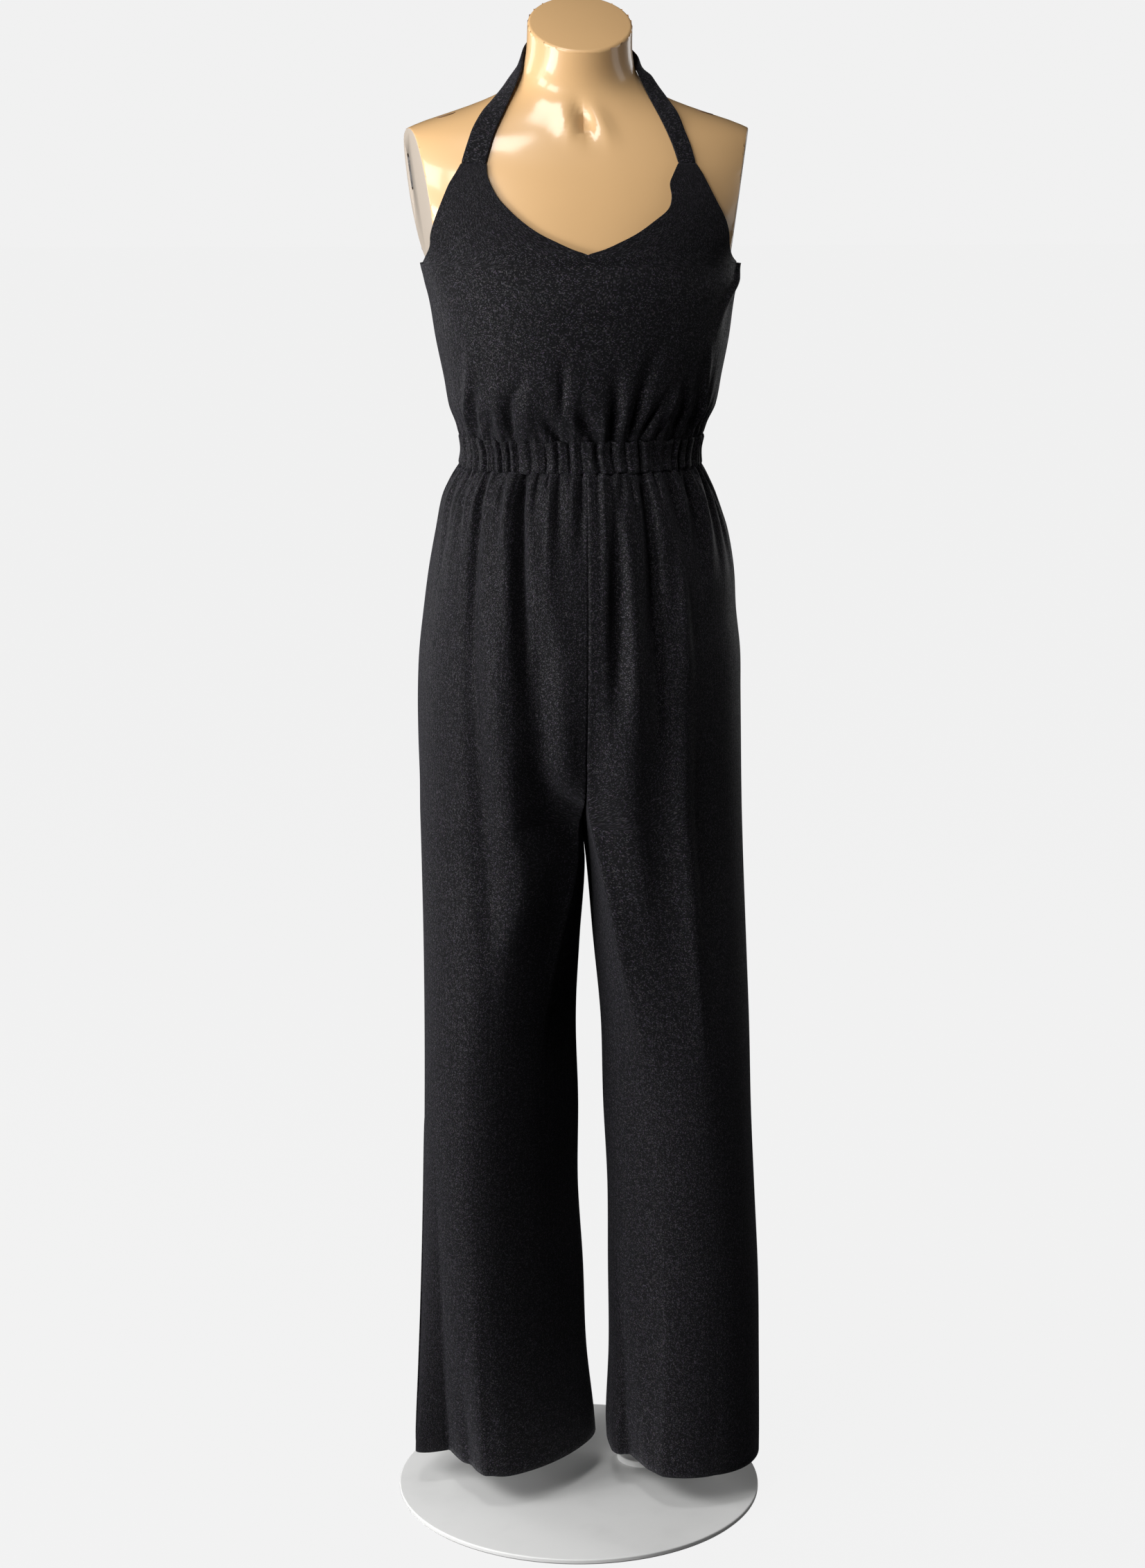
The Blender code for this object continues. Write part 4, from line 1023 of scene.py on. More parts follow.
# ---------------------------------------------------------------- trousers
@dataclass
class Trousers:
    """Four wide-legged pieces, gathered into the band and falling straight to the hem."""

    hem: float = 0.046
    crotch: float = 0.775
    fork: float = 0.845
    round_from: float = 0.925
    top: float = WAIST_LOW + SEAM_LAP
    body_share: float = 0.658
    inside_from: float = 0.70
    inside_to: float = 0.92
    seam_sink: float = 0.0125
    seam_groove: float = 0.0002
    seam_reach: float = 1.8
    hips: Profile = Profile(
        Girth(0.775, 0.169, 0.174, 0.106, 0.112),
        Girth(0.812, 0.169, 0.173, 0.1105, 0.1165),
        Girth(0.857, 0.170, 0.172, 0.1160, 0.1220),
        Girth(0.902, 0.170, 0.171, 0.120, 0.126),
        Girth(0.946, 0.168, 0.170, 0.121, 0.127),
        Girth(0.990, 0.163, 0.165, 0.120, 0.124),
        Girth(1.034, 0.157, 0.162, 0.117, 0.118),
        Girth(1.077, 0.149, 0.154, 0.112, 0.110),
        Girth(1.110, 0.1420, 0.1430, 0.105, 0.102),
        Girth(1.128, 0.1335, 0.1345, 0.099, 0.096),
        Girth(1.1415, 0.1255, 0.1265, 0.0935, 0.0905),
    )
    right_leg: Profile = Profile(
        Leg(0.046, -0.022, 0.182, 0.083, 0.116, 0.020, 1.00),
        Leg(0.072, -0.020, 0.181, 0.082, 0.116, 0.020, 1.00),
        Leg(0.154, -0.011, 0.177, 0.082, 0.112, 0.018, 1.00),
        Leg(0.252, -0.007, 0.173, 0.083, 0.108, 0.017, 1.00),
        Leg(0.348, -0.001, 0.170, 0.084, 0.105, 0.015, 1.00),
        Leg(0.443, -0.001, 0.168, 0.086, 0.103, 0.013, 1.00),
        Leg(0.537, 0.002, 0.167, 0.089, 0.102, 0.010, 0.88),
        Leg(0.630, -0.001, 0.167, 0.094, 0.103, 0.006, 0.55),
        Leg(0.721, -0.005, 0.168, 0.0995, 0.1055, 0.000, 0.24),
        Leg(0.775, 0.000, 0.169, 0.106, 0.112, 0.000, 0.12),
    )
    left_leg: Profile = Profile(
        Leg(0.046, 0.033, 0.200, 0.092, 0.097, 0.014, 1.00),
        Leg(0.072, 0.032, 0.200, 0.091, 0.097, 0.014, 1.00),
        Leg(0.154, 0.035, 0.199, 0.088, 0.096, 0.013, 1.00),
        Leg(0.252, 0.034, 0.197, 0.086, 0.095, 0.013, 1.00),
        Leg(0.348, 0.033, 0.192, 0.086, 0.095, 0.012, 1.00),
        Leg(0.443, 0.028, 0.187, 0.087, 0.096, 0.011, 1.00),
        Leg(0.537, 0.025, 0.184, 0.090, 0.098, 0.008, 0.80),
        Leg(0.630, 0.016, 0.180, 0.095, 0.101, 0.004, 0.48),
        Leg(0.721, 0.008, 0.1762, 0.0995, 0.1055, 0.000, 0.22),
        Leg(0.775, 0.000, 0.174, 0.106, 0.112, 0.000, 0.12),
    )
    # Degrees from the middle of the front, 90 at the side and 180 behind.
    right_creases: tuple[Crease, ...] = (
        Crease(1.2, 1.141, 3.0, 1.030, 0.0, 1.7, 0.0050),
        Crease(5.8, 1.141, 5.0, 1.050, 0.0, 1.4, -0.0021),
        Crease(10.8, 1.141, 9.6, 0.990, 0.0, 1.9, 0.0036),
        Crease(15.2, 1.141, 9.0, 0.930, 0.5, 2.2, -0.0036),
        Crease(20.5, 1.141, 19.0, 1.080, 0.0, 1.6, 0.0037),
        Crease(28.0, 1.141, 17.5, 0.840, 0.0, 1.75, 0.0160),
        Crease(35.5, 1.141, 25.5, 0.860, -2.0, 2.3, -0.0045),
        Crease(39.0, 1.141, 32.5, 1.080, 0.0, 1.4, 0.0047),
        Crease(50.1, 1.141, 40.0, 0.900, 0.0, 1.8, 0.0085),
        Crease(57.9, 1.141, 50.5, 1.060, 0.0, 1.6, 0.0025),
        Crease(64.1, 1.141, 55.1, 1.040, 0.0, 1.8, 0.0040),
        Crease(75.5, 1.141, 67.5, 1.010, 0.0, 2.0, 0.0050),
        Crease(86.0, 1.141, 82.0, 1.070, 0.0, 2.0, 0.0040),
        Crease(98.0, 1.141, 101.0, 1.010, 0.0, 2.2, 0.0062),
        Crease(109.0, 1.141, 110.0, 1.070, 0.0, 1.9, 0.0040),
        Crease(121.0, 1.141, 130.0, 0.950, 1.0, 2.5, 0.0096),
        Crease(127.0, 1.141, 135.0, 0.990, 1.0, 2.0, -0.0033),
        Crease(134.0, 1.141, 135.0, 1.060, 0.0, 2.0, 0.0050),
        Crease(145.0, 1.141, 152.0, 0.880, -1.0, 2.7, 0.0112),
        Crease(151.0, 1.141, 157.0, 0.960, 0.0, 2.0, -0.0036),
        Crease(158.0, 1.141, 158.0, 1.050, 0.0, 2.0, 0.0047),
        Crease(169.0, 1.141, 167.0, 0.980, 0.0, 2.3, 0.0065),
        Crease(120, 0.046, 128, 0.600, 2.0, 9.0, 0.0112),
        Crease(168, 0.046, 158, 0.660, -2.0, 8.0, 0.0100),
        Crease(34, 0.046, 42, 0.330, 0.0, 2.6, -0.0045),
        Crease(41, 0.046, 49, 0.200, 0.0, 2.2, 0.0060),
        Crease(36.0, 1.080, 22.0, 0.640, 0.0, 4.4, -0.0068, True),
        Crease(47.0, 1.080, 28.4, 0.480, 0.0, 3.4, 0.0055, True),
    )
    left_creases: tuple[Crease, ...] = (
        Crease(5.6, 1.141, 5.2, 0.800, 0.0, 1.0, -0.0027),
        Crease(14.3, 1.141, 11.0, 1.080, 0.0, 1.4, 0.0055),
        Crease(9.4, 1.135, 9.8, 0.860, -0.5, 1.9, 0.0115, True),
        Crease(13.5, 0.620, 14.0, 1.080, 0.0, 4.0, -0.0085, True),
        Crease(13.8, 1.130, 15.0, 0.850, 0.0, 1.8, -0.0045, True),
        Crease(18.5, 1.141, 19.2, 1.060, 0.0, 1.1, 0.0068),
        Crease(24.8, 1.141, 25.5, 0.800, -1.8, 2.2, 0.0140),
        Crease(31.0, 1.141, 30.0, 1.090, 0.0, 1.3, 0.0040),
        Crease(39.5, 1.141, 38.0, 1.020, 0.0, 2.4, 0.0085),
        Crease(37.0, 1.090, 34.5, 0.900, -1.0, 2.0, -0.0060, True),
        Crease(33.5, 0.500, 33.5, 1.080, 0.0, 3.4, -0.0105, True),
        Crease(52.5, 1.141, 43.0, 1.000, 0.0, 2.4, 0.0092),
        Crease(62.7, 1.141, 48.0, 0.980, -1.0, 1.9, -0.0027),
        Crease(67.9, 1.141, 58.3, 1.010, 0.0, 2.0, 0.0056),
        Crease(76.5, 1.141, 69.6, 1.000, 0.0, 2.1, 0.0053),
        Crease(86.0, 1.141, 84.0, 1.070, 0.0, 2.0, 0.0043),
        Crease(97.0, 1.141, 99.0, 1.010, 0.0, 2.2, 0.0059),
        Crease(110.0, 1.141, 112.0, 1.060, 0.0, 2.0, 0.0050),
        Crease(122.0, 1.141, 132.0, 0.920, 1.0, 2.6, 0.0102),
        Crease(129.0, 1.141, 138.0, 0.990, 1.0, 2.0, -0.0033),
        Crease(136.0, 1.141, 137.0, 1.050, 0.0, 2.0, 0.0050),
        Crease(147.0, 1.141, 151.0, 0.960, -1.0, 2.4, 0.0081),
        Crease(160.0, 1.141, 164.0, 0.860, 1.0, 2.8, 0.0105),
        Crease(166.0, 1.141, 169.0, 0.950, 0.0, 2.0, -0.0033),
        Crease(172.0, 1.141, 171.0, 1.060, 0.0, 2.0, 0.0050),
        Crease(112, 0.046, 106, 0.560, -2.0, 9.0, 0.0100),
        Crease(160, 0.046, 168, 0.640, 2.0, 8.0, 0.0112),
        Crease(24, 0.900, 34, 0.380, 3.0, 6.0, -0.0045, True),
    )
    right_tucks: tuple[Tuck, ...] = (
        Tuck(-51, -22, 0.520, 51, 40, 0.0700),
        Tuck(128, 140, 0.420, 34, 40, 0.0260),
    )
    left_tucks: tuple[Tuck, ...] = (
        Tuck(-138, -165, 0.360, 14, 24, 0.0200),
        Tuck(-113, -108, 0.420, 40, 22, -0.0120),
        Tuck(-167, -172, 0.300, 22, 14, -0.0140),
        Tuck(52, 40, 0.460, 40, 34, 0.0300),
    )
    # The hollow that runs from the right hip down the inside of the right leg, by the leg's turn.
    right_fall: Profile = Profile(
        Fall(0.046, -140, 85, 60, 0.020),
        Fall(0.100, -138, 85, 60, 0.024),
        Fall(0.250, -136, 85, 60, 0.032),
        Fall(0.500, -136, 80, 60, 0.037),
        Fall(0.620, -126, 54, 56, 0.037),
        Fall(0.680, -120, 34, 52, 0.036),
        Fall(0.730, -114, 25, 48, 0.034),
        Fall(0.780, -107, 22, 32, 0.029),
        Fall(0.830, -102, 19, 20, 0.021),
        Fall(0.870, -101, 17, 12, 0.0158),
        Fall(0.915, -99, 16, 13, 0.0142),
        Fall(0.960, -97, 15, 14, 0.0115),
        Fall(1.020, -89, 8, 12, 0.0035),
        Fall(1.060, -86, 6, 9, 0.0000),
    )
    hip_rows: int = 84
    fork_rows: int = 26
    leg_rows: int = 96
    columns: int = 112

    def _sizes(self, side: Side, height: float) -> tuple[float, ...]:
        """One half section's inner, outer, front, back, skew and roundness."""
        if height < self.crotch:
            leg = self.left_leg if side is Side.LEFT else self.right_leg
            return tuple(leg.read(name, height) for name in Leg._fields[1:])
        fall = min(max((self.round_from - height) / (self.round_from - self.crotch), 0.0), 1.0)
        return (
            0.0,
            self.hips.read(side.name.lower(), height),
            self.hips.read("front", height),
            self.hips.read("back", height),
            0.0,
            self.left_leg.rows[-1].roundness * fall * fall,
        )

    def _reach(self, height: float) -> float:
        """How far round the half section the cloth goes: 1 is the whole leg."""
        if height >= self.fork:
            return self.body_share
        if height <= self.crotch:
            return 1.0
        fall = (self.fork - height) / (self.fork - self.crotch)
        return self.body_share + (1 - self.body_share) * (1 - max(1 - fall * fall, 0.0) ** 0.5)

    def _shape(self, share: float, roundness: float) -> Pair:
        """The D-shaped or round section, 1 wide and 2 deep: share -1 to 1, front to back."""
        if abs(share) <= self.body_share:
            angle = pi / 2 * share / self.body_share
            d_x, d_y = power_sine(pi / 2 - angle, SQUARENESS), power_sine(angle, SQUARENESS)
        else:
            d_x = 0.0
            d_y = (1 - (abs(share) - self.body_share) / (1 - self.body_share)) * (1 if share > 0 else -1)
        round_x, round_y = (1 + cos(pi * share)) / 2, sin(pi * share)
        return d_x + (round_x - d_x) * roundness, d_y + (round_y - d_y) * roundness

    def base(self, side: Side, share: float, height: float) -> Vector:
        """A point on one half before its folds, as if on the wearer's left."""
        inner, outer, front, back, skew, roundness = self._sizes(side, height)
        x, y = self._shape(share, roundness)
        edge_x = self._shape(self._reach(height), roundness)[0]
        x = (x - edge_x) / (1 - edge_x)
        return Vector((
            inner + (outer - inner) * x,
            (back - front) / 2 + (front + back) / 2 * y + skew * (1 - 2 * x),
            height,
        ))

    def _facing(self, share: float) -> float:
        """1 on the front, side and back, and 0 on the wall between the legs."""
        return 1 - smooth_step(self.inside_from, self.inside_to, abs(share))

    def _tuck_depth(self, side: Side, share: float, height: float) -> float:
        """How far the tucks, the long fall and the middle seam draw the front or back in."""
        depth, turn = 0.0, 180 * share
        for tuck in self.left_tucks if side is Side.LEFT else self.right_tucks:
            along = (height - self.hem) / (tuck.tip_height - self.hem)
            if along >= 1 or turn * tuck.hem_turn <= 0:
                continue
            inside = abs(turn) - abs(tuck.hem_turn + (tuck.tip_turn - tuck.hem_turn) * along)
            near = max(1 + inside / tuck.outer_reach, 0.0)
            if inside >= 0:
                near = max(1 - inside / tuck.inner_reach, 0.0) ** 2
            depth += tuck.depth * near * (1 - along) ** 1.6
        if side is Side.RIGHT and turn < 0 and height < self.right_fall.rows[-1].height:
            read = partial(self.right_fall.read, height=height)
            inside = read("turn") - turn
            reach = read("inner_reach") if inside > 0 else read("outer_reach")
            joined = smooth_step(0, 0.13, self._reach(height) - abs(share))
            apart = smooth_step(self.crotch, self.crotch - 0.10, height)
            depth += read("depth") * (1 - smooth_step(0, 1, abs(inside) / reach)) * max(joined, apart)
        from_seam = 90 - 90 * abs(share) / self.body_share
        low = smooth_step(0.990, 0.800, height) * smooth_step(0.66, self.crotch, height)
        sunk = self.seam_sink * self._facing(share) * (0.5 if share > 0 else 1.0)
        depth += sunk * low * bell(max(from_seam, 0.0), 6.0)
        return depth * (1 if share > 0 else -1)

    def _fold_depth(self, side: Side, share: float, height: float) -> float:
        """All the creases, gathers and seam lines at one place, in metres."""
        angle = 90 + 90 * share / self.body_share
        near = self.top - height
        creases = self.left_creases if side is Side.LEFT else self.right_creases
        depth = crease_depth(creases, angle, height) * pinched(near)
        depth *= smooth_step(0.0, self.seam_reach, 90 - abs(angle - 90))
        depth += shirring(side.value * radians(angle), near, waves=66, depth=0.0025, reach=0.040)
        return (depth + turned_in(near)) * self._facing(share)

    def point(self, side: Side, share: float, height: float) -> Vector:
        """A point with its folds, as if on the wearer's left."""
        base = self.base(side, share, height)
        if abs(share) > self._reach(height) - TINY:
            out = Vector((0, 1 if share > 0 else -1, 0))
        else:
            out = way_out(lambda s: self.base(side, s, height), share)
        point = base - out * self._fold_depth(side, share, height)
        point.y -= self._tuck_depth(side, share, height)
        point.z += waist_ripple(side.value * radians(90 + 90 * share / self.body_share), height)
        return point

    def _heights(self) -> list[float]:
        """Every row's height from the hem up, closer where the crotch curves under."""
        leg = [self.hem + (self.crotch - self.hem) * row / self.leg_rows for row in range(self.leg_rows)]
        fork = [self.fork - (self.fork - self.crotch) * cos(pi / 2 * row / self.fork_rows)
                for row in range(self.fork_rows)]
        hip = [self.fork + (self.top - self.fork) * row / self.hip_rows for row in range(self.hip_rows + 1)]
        return leg + fork + hip

    def _panel(self, side: Side, face: Face) -> Place:
        """The place function of one of the four pieces."""
        heights = self._heights()
        last = len(heights) - 1

        def place(across: float, up: float) -> Vector:
            """A point by its shares across the piece and up it."""
            height = heights[round(up * last)]
            part = across if side is Side.LEFT else 1 - across
            part = 1 - part if face is Face.FRONT else part
            share = self.body_share * part + (self._reach(height) - self.body_share) * part**2
            point = self.point(side, face.value * share, height)
            if part < TINY or part > 1 - TINY:
                middle = self.base(side, 0.0, height)
                inward = Vector((middle.x - GROOVE, point.y, point.z)) if part < TINY else point
                point = inward - Vector((0, face.value * self.seam_groove * (part > 0.5), 0))
            point.x = max(point.x, self._sizes(side, height)[0])
            return Vector((side.value * point.x, point.y, point.z))

        return place

    def build(self, knit: bpy.types.Material) -> None:
        """Lay the four pieces."""
        rows = self.hip_rows + self.fork_rows + self.leg_rows
        for side in Side:
            for face in Face:
                ClothPanel(
                    node=f"trouser_{face.name.lower()}_{side.name.lower()}", columns=self.columns,
                    rows=rows, flat=(0.350, 1.105), area=0.292, halves=(self._panel(side, face),),
                ).build(knit)


# ---------------------------------------------------------------- halter strap
@dataclass
class HalterStrap:
    """One flat tube of knit from cup to cup round the nape."""

    flat: Pair = (0.050, 0.460)
    thickness: float = 0.0022
    wall: float = 0.0008
    twists: Pair = (6.5 / 22, 15.5 / 22)
    twist_swell: float = 0.0026
    seat: float = 1.44908
    end_rise: float = 0.15
    around: int = 28
    along: int = 220
    step: float = 0.002
    route: tuple[Station, ...] = (
        Station(-0.1112, -0.0716, 1.4493, -0.22, -0.93, 0.28, 0.0246),
        Station(-0.1045, -0.0615, 1.4696, -0.18, -0.80, 0.57, 0.0240),
        Station(-0.0990, -0.0518, 1.4831, -0.18, -0.71, 0.68, 0.0240),
        Station(-0.0900, -0.0390, 1.4985, -0.22, -0.62, 0.76, 0.0230),
        Station(-0.0805, -0.0235, 1.5117, -0.42, -0.45, 0.79, 0.0220),
        Station(-0.0703, -0.0080, 1.5268, -0.63, -0.32, 0.71, 0.0205),
        Station(-0.0635, 0.0030, 1.5383, -0.75, -0.19, 0.64, 0.0185),
        Station(-0.0586, 0.0135, 1.5470, -0.95, 0.15, 0.28, 0.0195),
        Station(-0.0526, 0.0247, 1.5565, -0.93, 0.31, 0.21, 0.0240),
        Station(-0.0405, 0.0413, 1.5620, -0.74, 0.63, 0.24, 0.0240),
        Station(-0.0216, 0.0521, 1.5660, -0.41, 0.87, 0.28, 0.0240),
        Station(0.0000, 0.0561, 1.5670, 0.00, 0.95, 0.30, 0.0240),
        Station(0.0216, 0.0526, 1.5645, 0.41, 0.87, 0.29, 0.0235),
        Station(0.0406, 0.0418, 1.5600, 0.73, 0.63, 0.26, 0.0225),
        Station(0.0529, 0.0256, 1.5535, 0.92, 0.30, 0.24, 0.0215),
        Station(0.0608, 0.0125, 1.5457, 0.93, 0.10, 0.34, 0.0195),
        Station(0.0649, -0.0035, 1.5370, 0.54, -0.39, 0.74, 0.0185),
        Station(0.0724, -0.0160, 1.5223, 0.39, -0.56, 0.73, 0.0200),
        Station(0.0805, -0.0315, 1.5071, 0.19, -0.63, 0.75, 0.0205),
        Station(0.0868, -0.0445, 1.4947, 0.09, -0.72, 0.69, 0.0205),
        Station(0.0924, -0.0564, 1.4798, 0.16, -0.74, 0.65, 0.0195),
        Station(0.0972, -0.0652, 1.4663, 0.16, -0.82, 0.54, 0.0190),
        Station(0.1018, -0.0735, 1.4493, 0.19, -0.93, 0.28, 0.0183),
    )

    def _at(self, part: float) -> Vector:
        """All seven columns of the route, smooth, at a share of its stations."""
        spot = part * (len(self.route) - 1)
        index = min(int(spot), len(self.route) - 2)
        t = spot - index
        a, b, c, d = (
            Vector(self.route[min(max(index + i, 0), len(self.route) - 1)]) for i in (-1, 0, 1, 2)
        )
        return 0.5 * (2 * b + (c - a) * t + (2 * a - 5 * b + 4 * c - d) * t**2
                      + (3 * b - a - 3 * c + d) * t**3)

    def place(self, round_it: float, part: float) -> Vector:
        """A point on the tube's skin: round_it goes once round its flat section."""
        row = self._at(part)
        middle = Vector(row[:3])
        ahead, behind = self._at(min(part + self.step, 1)), self._at(max(part - self.step, 0))
        along = Vector(ahead[:3]) - Vector(behind[:3])
        aside = along.cross(Vector(row[3:6])).normalized()
        out = aside.cross(along).normalized()
        angle = 2 * pi * round_it
        flat = power_sine(pi / 2 - angle, 2.3)
        full = power_sine(angle, 4.0)
        twist = bell(part - self.twists[0], 0.055) + bell(part - self.twists[1], 0.055)
        pucker = 1 + 0.10 * sin(46 * part + 2 * flat) + 0.08 * sin(113 * part)
        dimple = 1 - 0.22 * bell(flat - 0.15 * sin(9 * part), 0.45)
        half = (self.thickness + self.twist_swell * twist) / 2
        point = middle + aside * row[6] / 2 * flat + out * half * full * pucker * dimple
        from_end = min(part, 1 - part)
        point.z = self.seat if from_end < TINY else max(point.z, self.seat + self.end_rise * from_end)
        return point

    def build(self, knit: bpy.types.Material) -> None:
        """Sweep the tube, join it along its length and give it its wall."""
        bm = bmesh.new()
        flat = bm.verts.layers.float_vector.new("flat")
        grid = bmesh.ops.create_grid(bm, x_segments=self.around, y_segments=self.along, size=1)
        for vert in grid["verts"]:
            round_it, part = (vert.co.x + 1) / 2, (vert.co.y + 1) / 2
            vert[flat] = (round_it * self.flat[0], part * self.flat[1], 0)
            vert.co = self.place(round_it, part)
        unroll(bm, flat)
        bmesh.ops.remove_doubles(bm, verts=bm.verts, dist=TINY)
        bmesh.ops.recalc_face_normals(bm, faces=bm.faces)
        piece = finish_mesh("halter_strap_cloth", bm, radians(75), knit)
        install_cloth(piece, "halter_strap", self.wall, self.flat, Held.HUNG)


# ---------------------------------------------------------------- stand
@dataclass
class Stand:
    """The round base plate and the pole with its flange, socket and clamp screw."""

    base_radius: float = 0.200
    base_thickness: float = 0.006
    base_edge: float = 0.0015
    pole_radius: float = 0.011
    pole_top: float = 0.850 - POLE_PLAY
    pole_place: Pair = (0.078, 0.048)
    flange_radius: float = 0.030
    flange_height: float = 0.007
    socket_radius: float = 0.017
    socket_height: float = 0.030
    fillet: float = 0.0022
    screw_radius: float = 0.0042
    screw_length: float = 0.006
    screw_set_back: float = 0.0012
    screw_rim: float = 0.0016
    screw_recess: float = 0.0022
    turns: int = 128

    def _spun(self, name: str, profile: Sequence[Pair], steps: int,
              place: Pair, paint: bpy.types.Material) -> bpy.types.Object:
        """Spin a profile of radius and height round an upright axis into a closed solid."""
        bm = bmesh.new()
        verts = [bm.verts.new((radius, 0, height)) for radius, height in profile]
        edges = [bm.edges.new(pair) for pair in zip(verts, verts[1:])]
        bmesh.ops.spin(bm, geom=verts + edges, cent=(0, 0, 0), axis=(0, 0, 1), dvec=(0, 0, 0),
                       angle=2 * pi, steps=steps, use_merge=True)
        bmesh.ops.remove_doubles(bm, verts=bm.verts, dist=TINY)
        bmesh.ops.recalc_face_normals(bm, faces=bm.faces)
        move(bm, (*place, 0))
        return finish_mesh(name, bm, radians(35), paint)

    def _corner(self, radius: float, height: float, size: float, start: float) -> list[Pair]:
        """A rounded outer corner of a profile, a quarter turn from the start angle in degrees."""
        angles = [radians(start - 90 * step / 5) for step in range(6)]
        return [(radius - size + size * cos(a), height - size + size * sin(a)) for a in angles]

    def build(self, paint: bpy.types.Material, steel: bpy.types.Material) -> None:
        """Turn the base and the pole, and add the screw."""
        edge = self.base_edge
        base = self._spun("stand_plate", [
            (0, self.base_thickness),
            (0.06, self.base_thickness),
            *self._corner(self.base_radius, self.base_thickness, edge, 90),
            (self.base_radius, edge),
            (self.base_radius - edge, 0),
            (0.06, 0),
            (0, 0),
        ], self.turns, (0, 0), paint)
        foot = self.base_thickness + POLE_PLAY
        socket, flange, fillet = foot + self.socket_height, foot + self.flange_height, self.fillet
        pole = self._spun("stand_upright", [
            (0, self.pole_top),
            *self._corner(self.pole_radius, self.pole_top, 0.0012, 90),
            (self.pole_radius, 0.4),
            (self.pole_radius, socket + 0.0004),
            *self._corner(self.socket_radius, socket, 0.0018, 90),
            (self.socket_radius, flange + fillet),
            (self.socket_radius + 0.3 * fillet, flange + 0.3 * fillet),
            (self.socket_radius + fillet, flange),
            *self._corner(self.flange_radius, flange, 0.0016, 90),
            (self.flange_radius, foot),
            (0, foot),
        ], 64, self.pole_place, paint)
        install(base, "stand_base")
        install(pole, "stand_pole")
        install(self._screw(steel, foot + 0.6 * self.socket_height))

    def _screw(self, steel: bpy.types.Material, height: float) -> bpy.types.Object:
        """The small clamp screw on the back of the socket, with a round recess in its head."""
        bm = bmesh.new()
        bmesh.ops.create_cone(bm, cap_ends=True, segments=28, radius1=self.screw_radius,
                              radius2=self.screw_radius, depth=self.screw_length)
        rim = [edge for edge in bm.edges if edge.verts[0].co.z > 0 and edge.verts[1].co.z > 0]
        round_edges(bm, rim, 0.0006, segments=3)
        head = max(bm.faces, key=lambda face: face.calc_center_median().z)
        bmesh.ops.inset_individual(bm, faces=[head], thickness=self.screw_rim, depth=0)
        bmesh.ops.inset_individual(bm, faces=[head], thickness=0.0002, depth=-self.screw_recess)
        rotate(bm, -pi / 2, "X")
        x, y = self.pole_place
        move(bm, (x, y + self.socket_radius + self.screw_set_back, height))
        return finish_mesh("stand_screw", bm, radians(35), steel)


# ---------------------------------------------------------------- studio
class Softbox(NamedTuple):
    """One area light: where it stands, its power, what it looks at and its size."""

    name: str
    place: Triple
    watts: float
    aim: Triple = (0.0, 0.0, 1.0)
    width: float = 0.9
    height: float = 2.0


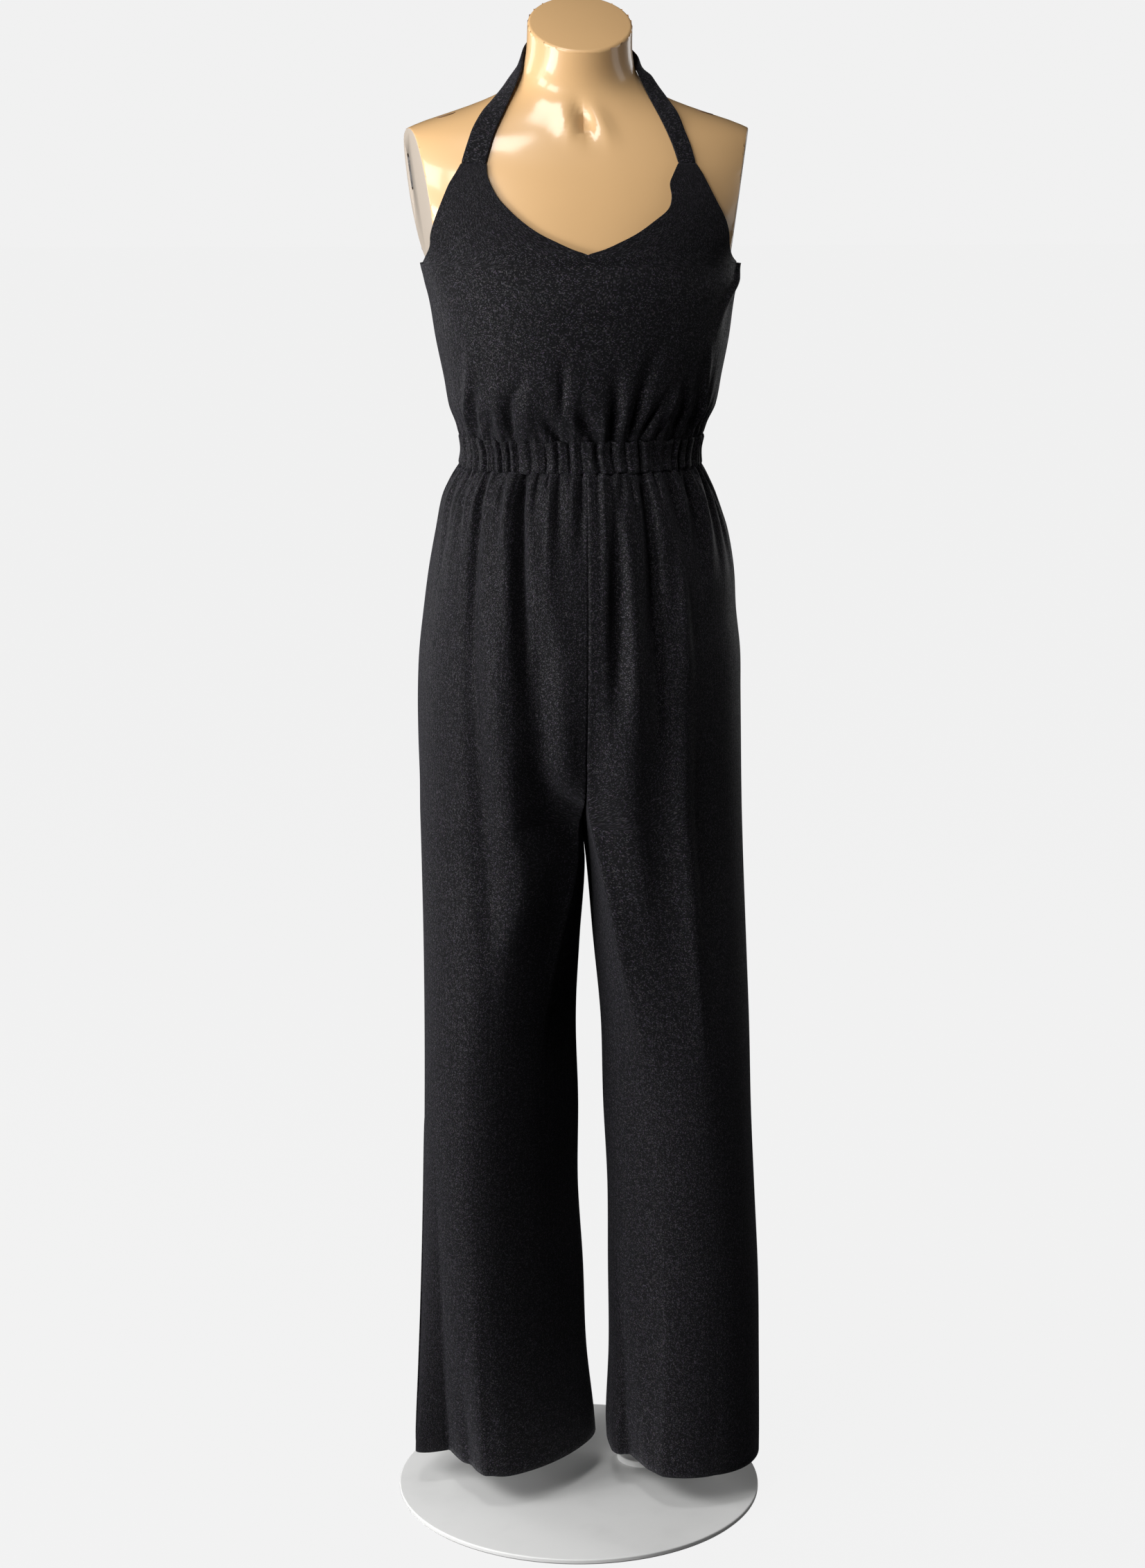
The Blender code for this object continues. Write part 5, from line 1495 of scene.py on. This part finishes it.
@dataclass
class Studio:
    """A plain pale floor, soft lights and the camera."""

    camera_place: Triple = (-0.258, -3.190, 1.510)
    camera_aim: Triple = (-0.007, 0.0, 0.8006)
    focal_length: float = 70.79
    sensor: float = 36.0
    backdrop: Colour = (0.879, 0.879, 0.879, 1)
    fill: float = 0.012
    boxes: tuple[Softbox, ...] = (
        Softbox("key_high", (-2.47, -1.31, 2.60), 36.0, width=1.0, height=1.0),
        Softbox("key_low", (-2.47, -1.31, 0.70), 48.0, width=1.0, height=1.0),
        Softbox("front_high", (-1.66, -2.37, 2.70), 36.0, width=1.0, height=1.0),
        Softbox("glint_box", (-0.52, -0.98, 3.57), 15.0, (0.0, 0.0, 1.45), 0.55, 0.55),
        Softbox("left_box", (-2.70, -0.72, 1.50), 26.0),
        Softbox("rear_box", (-2.29, 1.61, 1.40), 22.0),
        Softbox("right_box", (2.76, -0.49, 1.40), 9.0),
        Softbox("rim_box", (1.98, 1.98, 1.40), 13.0),
    )

    def _aimed(self, item: bpy.types.Object, place: Sequence[float], aim: Sequence[float]) -> None:
        """Put a light or the camera at a place, looking at another."""
        item.location = place
        item.rotation_euler = (Vector(aim) - Vector(place)).to_track_quat("-Z", "Y").to_euler()
        bpy.context.scene.collection.objects.link(item)

    def light(self) -> None:
        """Set the world and the softboxes."""
        world = bpy.data.worlds.new("studio")
        bpy.context.scene.world = world
        world.use_nodes = True
        tree = world.node_tree
        seen = tree.nodes["Background"]
        seen.inputs["Color"].default_value = self.backdrop
        unseen = tree.nodes.new("ShaderNodeBackground")
        unseen.inputs["Strength"].default_value = self.fill
        mix = tree.nodes.new("ShaderNodeMixShader")
        ray = tree.nodes.new("ShaderNodeLightPath")
        tree.links.new(ray.outputs["Is Camera Ray"], mix.inputs[0])
        tree.links.new(unseen.outputs[0], mix.inputs[1])
        tree.links.new(seen.outputs[0], mix.inputs[2])
        tree.links.new(mix.outputs[0], tree.nodes["World Output"].inputs[0])
        for box in self.boxes:
            lamp = bpy.data.lights.new(box.name, "AREA")
            lamp.shape, lamp.size, lamp.size_y = "RECTANGLE", box.width, box.height
            lamp.energy = box.watts
            self._aimed(bpy.data.objects.new(box.name, lamp), box.place, box.aim)

    def floor(self) -> None:
        """A wide pale floor that shows a faint shadow and lights nothing."""
        bm = bmesh.new()
        bmesh.ops.create_grid(bm, x_segments=1, y_segments=1, size=30)
        n = Nodes("pale_floor")
        material = n.shade(Base_Color=(0.016, 0.016, 0.016, 1), Roughness=0.9, Specular_IOR_Level=0.0,
                           Emission_Color=(1, 1, 1, 1), Emission_Strength=0.873)
        floor = finish_mesh("floor", bm, radians(30), material)
        floor.visible_diffuse = False
        floor.visible_glossy = False

    def camera(self) -> None:
        """The camera at its height in front, a little to the wearer's right."""
        lens = bpy.data.cameras.new("camera")
        lens.lens, lens.sensor_width = self.focal_length, self.sensor
        lens.clip_start, lens.clip_end = 0.1, 100.0
        item = bpy.data.objects.new("camera", lens)
        self._aimed(item, self.camera_place, self.camera_aim)
        bpy.context.scene.camera = item

    def build(self) -> None:
        """Set up the whole studio."""
        self.light()
        self.floor()
        self.camera()
        view = bpy.context.scene.view_settings
        view.view_transform, view.look = "Standard", "None"


def main() -> None:
    """Build the studio and every piece in order."""
    logging.basicConfig(level=logging.INFO, format="%(name)s: %(message)s")
    Studio().build()
    knit = KnitFinish().build()
    shell = ShellFinish("beige_shell", (0.76, 0.475, 0.225, 1)).build()
    plate = ShellFinish("pale_arm_cap", (0.43, 0.365, 0.30, 1), 0.5, 0.0).build()
    paint = PaintFinish().build()
    steel = DarkFinish("screw_steel", (0.35, 0.35, 0.36, 1), 1.0).build()
    wire = DarkFinish("brown_wire", (0.16, 0.09, 0.05, 1)).build()
    # Near-black painted shade for the inside of the arm caps' slots.
    hollow = DarkFinish("socket_shadow", (0.020, 0.012, 0.008, 1)).build()
    form = DressForm()
    form.build(shell, plate, hollow)
    form.fittings(wire)
    Stand().build(paint, steel)
    Bodice(form).build(knit)
    Waistband().build(knit)
    Trousers().build(knit)
    HalterStrap().build(knit)


if __name__ == "__main__":
    main()
